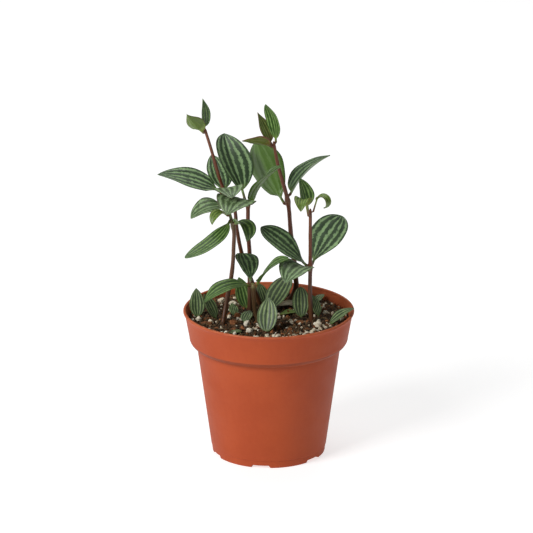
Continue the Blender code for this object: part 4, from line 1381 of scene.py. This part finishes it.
LEAVES = [
    # The growing tip and the node of the tall left stem.
    Leaf("leaf_left_tall_tip_up", FRESH, ("stem_left_tall", 210.6), 130, 94, 2.5, 18, 9.5,
         arch=13, roll=10, fold=25, form=(0.55, 1.0)),
    Leaf("leaf_left_tall_tip_left", TIP_GREEN, ("stem_left_tall", 210.4), 225, 39, 2, 19, 12,
         arch=-15, roll=40, fold=24, form=(0.6, 1.3), slot=YOUNG),
    Leaf("leaf_left_tall_left", MATURE, ("stem_left_tall", 170.8), 179, 30, 3.5, 39, 18.5,
         arch=27, sway=12, roll=-25, fold=9, form=(0.62, 0.95)),
    Leaf("leaf_left_tall_back", MATURE, ("stem_left_tall", 169.8), 105, 30, 2, 30, 16, arch=0,
         sway=5, fold=12),
    Leaf("leaf_left_tall_front", PAINTED_SHEEN, ("stem_left_tall", 171.3), 280, 35, 3, 26, 19, arch=60,
         roll=5, fold=6),
    Leaf("leaf_left_tall_low_left", PAINTED_SHEEN, ("stem_left_tall", 159.9), 202, 14, 6, 23, 20,
         arch=60, sway=-8, roll=-8, fold=12),
    # The tip and the node of the left front stem.
    Leaf("leaf_left_front_tip", TIP_GREEN, ("stem_left_front", 158.7), 225, 38, 2, 15, 9.5,
         arch=115, fold=25, slot=YOUNG),
    Leaf("leaf_left_front_left", FRESH, ("stem_left_front", 155.2), 247, -22, 3.4, 41, 11.5,
         arch=-6, sway=-43, roll=-12, fold=8, form=(0.6, 0.55), slot=YOUNG),
    Leaf("leaf_left_front_right", FRESH, ("stem_left_front", 152.7), 308, 22, 2.5, 17.5, 16,
         arch=130, roll=-15, fold=28, slot=YOUNG),
    # The node of the middle stem.
    Leaf("leaf_middle_back", MATURE, ("stem_middle", 162.8), 126, 63, 7.5, 44, 24.8, arch=45,
         sway=-27, roll=7, fold=19, form=(0.7, 0.9)),
    Leaf("leaf_middle_right", BACKLIT, ("stem_middle", 163.1), 319, 66.5, 2, 35, 18, arch=31,
         sway=13, roll=11, fold=18),
    Leaf("leaf_middle_front", PAINTED_SHEEN, ("stem_middle", 162.3), 250, 40, 7, 32, 25, arch=80,
         roll=-7, fold=3),
    # The tip of the short front stem.
    Leaf("leaf_short_left", FRESH, ("stem_short_front", 112.9), 208, 16, 2.5, 31, 15, arch=58,
         roll=-8, fold=14, slot=YOUNG),
    Leaf("leaf_short_back", MATURE, ("stem_short_front", 113), 112, 66, 2.2, 18.5, 18.5,
         arch=36, sway=10, roll=14, fold=14, form=(1.1, 0.55)),
    Leaf("leaf_short_right", FRESH, ("stem_short_front", 113.4), 317, 56, 3, 34, 15, arch=33,
         roll=25, fold=13, slot=YOUNG),
    # The tip and the node of the tall right stem.
    Leaf("leaf_right_tall_tip_left_up", TIP_RED, ("stem_right_tall", 197.4), 147, 62, 2, 20,
         12.5, arch=0, fold=10, form=(0.6, 1.1), slot=YOUNG),
    Leaf("leaf_right_tall_tip_right_up", FRESH, ("stem_right_tall", 198.4), 55, 91, 2.5, 28,
         10.5, arch=-47, fold=12, form=(0.6, 0.75), slot=YOUNG),
    Leaf("leaf_right_tall_tip_left", TIP_RED, ("stem_right_tall", 197.3), 212, 24, 2.5, 20.5,
         12.5, arch=15, roll=36, fold=16, form=(0.6, 1.0), slot=YOUNG),
    Leaf("leaf_right_tall_left", BACKLIT, ("stem_right_tall", 157.1), 158, 55.5, 2, 41, 25,
         arch=-13, sway=-18, roll=97, fold=12, form=(1.0, 0.62)),
    Leaf("leaf_right_tall_right", PENCILLED, ("stem_right_tall", 162.6), 28, 57, 2, 35, 18.5,
         arch=42, roll=-10, fold=27, form=(0.6, 1.1)),
    # The tip and the node of the right front stem.
    Leaf("leaf_right_front_tip_back", FRESH, ("stem_right_front", 159.2), 130, 78, 4, 18, 12.5,
         arch=22, sway=8, fold=18, form=(0.6, 0.9), slot=YOUNG),
    Leaf("leaf_right_front_tip_left", TIP_GREEN, ("stem_right_front", 157.6), 239, 71, 8, 20,
         11, arch=138, sway=34, fold=20, slot=YOUNG),
    Leaf("leaf_right_front_tip_right", TIP_GREEN, ("stem_right_front", 160), 340, 74, 8, 15.5,
         7.5, arch=240, sway=-22, fold=22, slot=YOUNG),
    Leaf("leaf_right_front_right", MATURE, ("stem_right_front", 125.3), 60, 40, 2.5, 36.5, 24.5,
         arch=5, sway=-18, roll=11, fold=10, form=(1.0, 0.6)),
    Leaf("leaf_right_front_left", MATURE, ("stem_right_front", 125.3), 193, 48, 1.5, 36.5, 23,
         arch=17, sway=-37, roll=-16, fold=10, form=(0.8, 0.7)),
    Leaf("leaf_right_front_front", PAINTED_SHEEN, ("stem_right_front", 122.8), 242, 33, 4.5, 29, 22,
         arch=75, roll=-8, fold=13),
    # Young leaves that rise from the soil.
    Leaf("leaf_low_1", LOW, (-45, 2), 100, 75, 1, 18, 10, arch=0),
    Leaf("leaf_low_2", LOW, (-33.5, -1), 147, 60, 1, 16.5, 11.5, arch=3),
    Leaf("leaf_low_3", LOW, (-21.5, 3), 112, 60, 1, 8, 6.5, arch=12),
    Leaf("leaf_low_4", FRESH, (-14.3, 15.8), 120, 65, 1.5, 20, 12, arch=5),
    Leaf("leaf_low_5", LOW, (-2.5, 25.5), 126, 63, 1.5, 13.5, 9, arch=6),
    Leaf("leaf_low_6", LOW, (-15.5, -9.5), 66, 40, 1, 10, 8, arch=25),
    Leaf("leaf_low_7", LOW, (-1.5, -28.5), 82, 63, 1, 22, 13, arch=10, fold=7,
         form=(0.62, 0.75)),
    Leaf("leaf_low_8", LOW, (0, 7.5), 45, 50, 3.5, 26, 17, arch=20, sway=15, form=(0.62, 0.7)),
    Leaf("leaf_low_9", LOW, (20.5, -0.5), 93, 71, 1, 19, 11, arch=6, fold=8, form=(0.6, 0.6)),
    Leaf("leaf_low_10", LOW, (31.5, 3), 122, 62, 1, 13.5, 7, arch=6),
    Leaf("leaf_low_11", LOW, (30, 29), 30, 45, 1.5, 7, 7.5, arch=25, fold=13),
    Leaf("leaf_low_12", LOW, (38.5, -13), 10, 44, 1, 18, 13, arch=22, fold=14),
    Leaf("leaf_low_13", TIP_GREEN, (7, 5), 350, 20, 1, 11, 9, arch=20, slot=YOUNG),
    Leaf("leaf_low_14", LOW, (-25, -28), 350, 15, 1, 8, 6, arch=15),
]


@dataclass
class DryLeaf:
    """The dried leaf that lies on the soil, crumpled along its length. Sizes in mm."""
    foliage: Foliage
    foot: tuple[float, float] = (4.0, 18.0)
    lift: float = 1.2
    crumple: float = 0.55
    crumple_size: float = 3.5
    seed: int = 31

    def build(self) -> bpy.types.Object:
        """Build and dress it: a blade moved onto the soil and crumpled by noise."""
        flat = Leaf("dry_leaf", LOW, self.foot, 20, 12, 1, 17, 9, arch=24, fold=12)
        surface = self.foliage.blade(flat)
        lowest = soil_crown(math.hypot(*self.foot)) + self.lift - SOIL_CLEARANCE
        surface.points[:, 2] = np.maximum(surface.points[:, 2], lowest)
        flat_places = surface.points * (1.0, 1.0, 0.0)
        waves = layered_noise(flat_places, self.crumple_size, 3, self.seed)
        surface.points[:, 2] += self.crumple * (1.0 + waves)
        return add_piece("dry_leaf_blade", surface.mesh("dry_leaf_blade"),
                         StrawFinish().material(self.foliage.effects), "dry_leaf",
                         "dry_leaf")


# ---------------------------------------------------------------- studio

@dataclass(frozen=True)
class SoftLight:
    """A square lamp: its place and aim in metres, its side in metres, its power in watts."""
    name: str
    place: tuple[float, float, float]
    side: float
    power: float
    aim: tuple[float, float, float] = (0.0, 0.0, 0.11)

    def hang(self) -> None:
        """Add the lamp to the scene."""
        data = bpy.data.lights.new(self.name, "AREA")
        data.shape = "SQUARE"
        data.size = self.side
        data.energy = self.power
        lamp = linked(self.name, data)
        lamp.location = self.place
        toward = Vector(self.aim) - Vector(self.place)
        lamp.rotation_euler = toward.to_track_quat("-Z", "Y").to_euler()


@dataclass
class Studio:
    """The floor, the lamps, the world and the camera. Sizes in metres.

    The floor glows a little, like a light table, so that shadows on it stay soft.
    """
    floor_half: float = 6.0
    floor_tones: tuple[float, float] = (0.52, 0.55)
    floor_glow: float = 0.69
    room_light: float = 0.12
    camera_place: tuple[float, float, float] = (-0.00142, -2.36088, 0.91676)
    camera_drop: float = 18.6
    lens: float = 267.5
    lamps: tuple[SoftLight, ...] = (
        SoftLight("key", (-1.55, -1.4, 1.5), 1.1, 52.0),
        SoftLight("top", (-0.1, 0.8, 2.0), 1.6, 15.0),
    )

    def build_floor(self) -> None:
        """Lay the pale floor, a level square grid."""
        line = np.linspace(-self.floor_half, self.floor_half, 5) / MM
        x, y = np.meshgrid(line, line)
        points = np.stack([x.ravel(), y.ravel(), np.full(x.size, -0.05)], axis=-1)
        index = np.arange(25).reshape(5, 5)
        quads = np.stack([index[:-1, :-1], index[:-1, 1:], index[1:, 1:], index[1:, :-1]],
                         axis=-1).reshape(-1, 4)
        floor = linked("floor", Surface(points, [quads]).mesh("floor"))
        graph = Paint("studio_floor")
        haze = graph.noise(graph.object_place(), 3.0, 2.0)
        colour = graph.mix(haze, *((tone, tone, tone) for tone in self.floor_tones))
        floor.data.materials.append(graph.finish(colour, 0.9, **{
            "Emission Color": (1.0, 1.0, 1.0), "Emission Strength": self.floor_glow}))

    def build_world(self) -> None:
        """Fill the room with even white light."""
        world = bpy.data.worlds.new("studio")
        world.use_nodes = True
        background = world.node_tree.nodes["Background"]
        background.inputs["Color"].default_value = (1.0, 1.0, 1.0, 1.0)
        background.inputs["Strength"].default_value = self.room_light
        bpy.context.scene.world = world

    def build_camera(self) -> None:
        """Stand the camera in front, looking down at the plant."""
        data = bpy.data.cameras.new("camera")
        data.lens = self.lens
        data.sensor_width = 36.0
        camera = linked("camera", data)
        camera.location = self.camera_place
        camera.rotation_euler = (math.radians(90.0 - self.camera_drop), 0.0, 0.0)
        bpy.context.scene.camera = camera
        bpy.context.scene.view_settings.view_transform = "Standard"

    def build(self) -> None:
        """Build the whole studio."""
        self.build_floor()
        self.build_world()
        self.build_camera()
        for lamp in self.lamps:
            lamp.hang()


def corners(box: tuple[Vector, Vector]) -> list[list[float]]:
    """Return a box's lowest and highest corner as plain lists."""
    return [list(corner) for corner in box]


def main() -> None:
    """Build the studio, then the pot, the soil mix, the stems and the leaves."""
    logging.basicConfig(level=logging.INFO, format="%(name)s: %(message)s")
    Studio().build()
    effects = Effects()
    pot = NurseryPot()
    pot.build(effects)
    SoilMix(pot).build(effects)
    skins = {stem.finish.name: stem.finish for stem in STEMS}
    materials = {name: finish.material(effects) for name, finish in skins.items()}
    for stem in STEMS:
        stem.build(effects, materials[stem.finish.name])
    foliage = Foliage(effects, {stem.node: stem for stem in STEMS})
    for leaf in LEAVES:
        foliage.grow(leaf)
    DryLeaf(foliage).build()


if __name__ == "__main__":
    main()
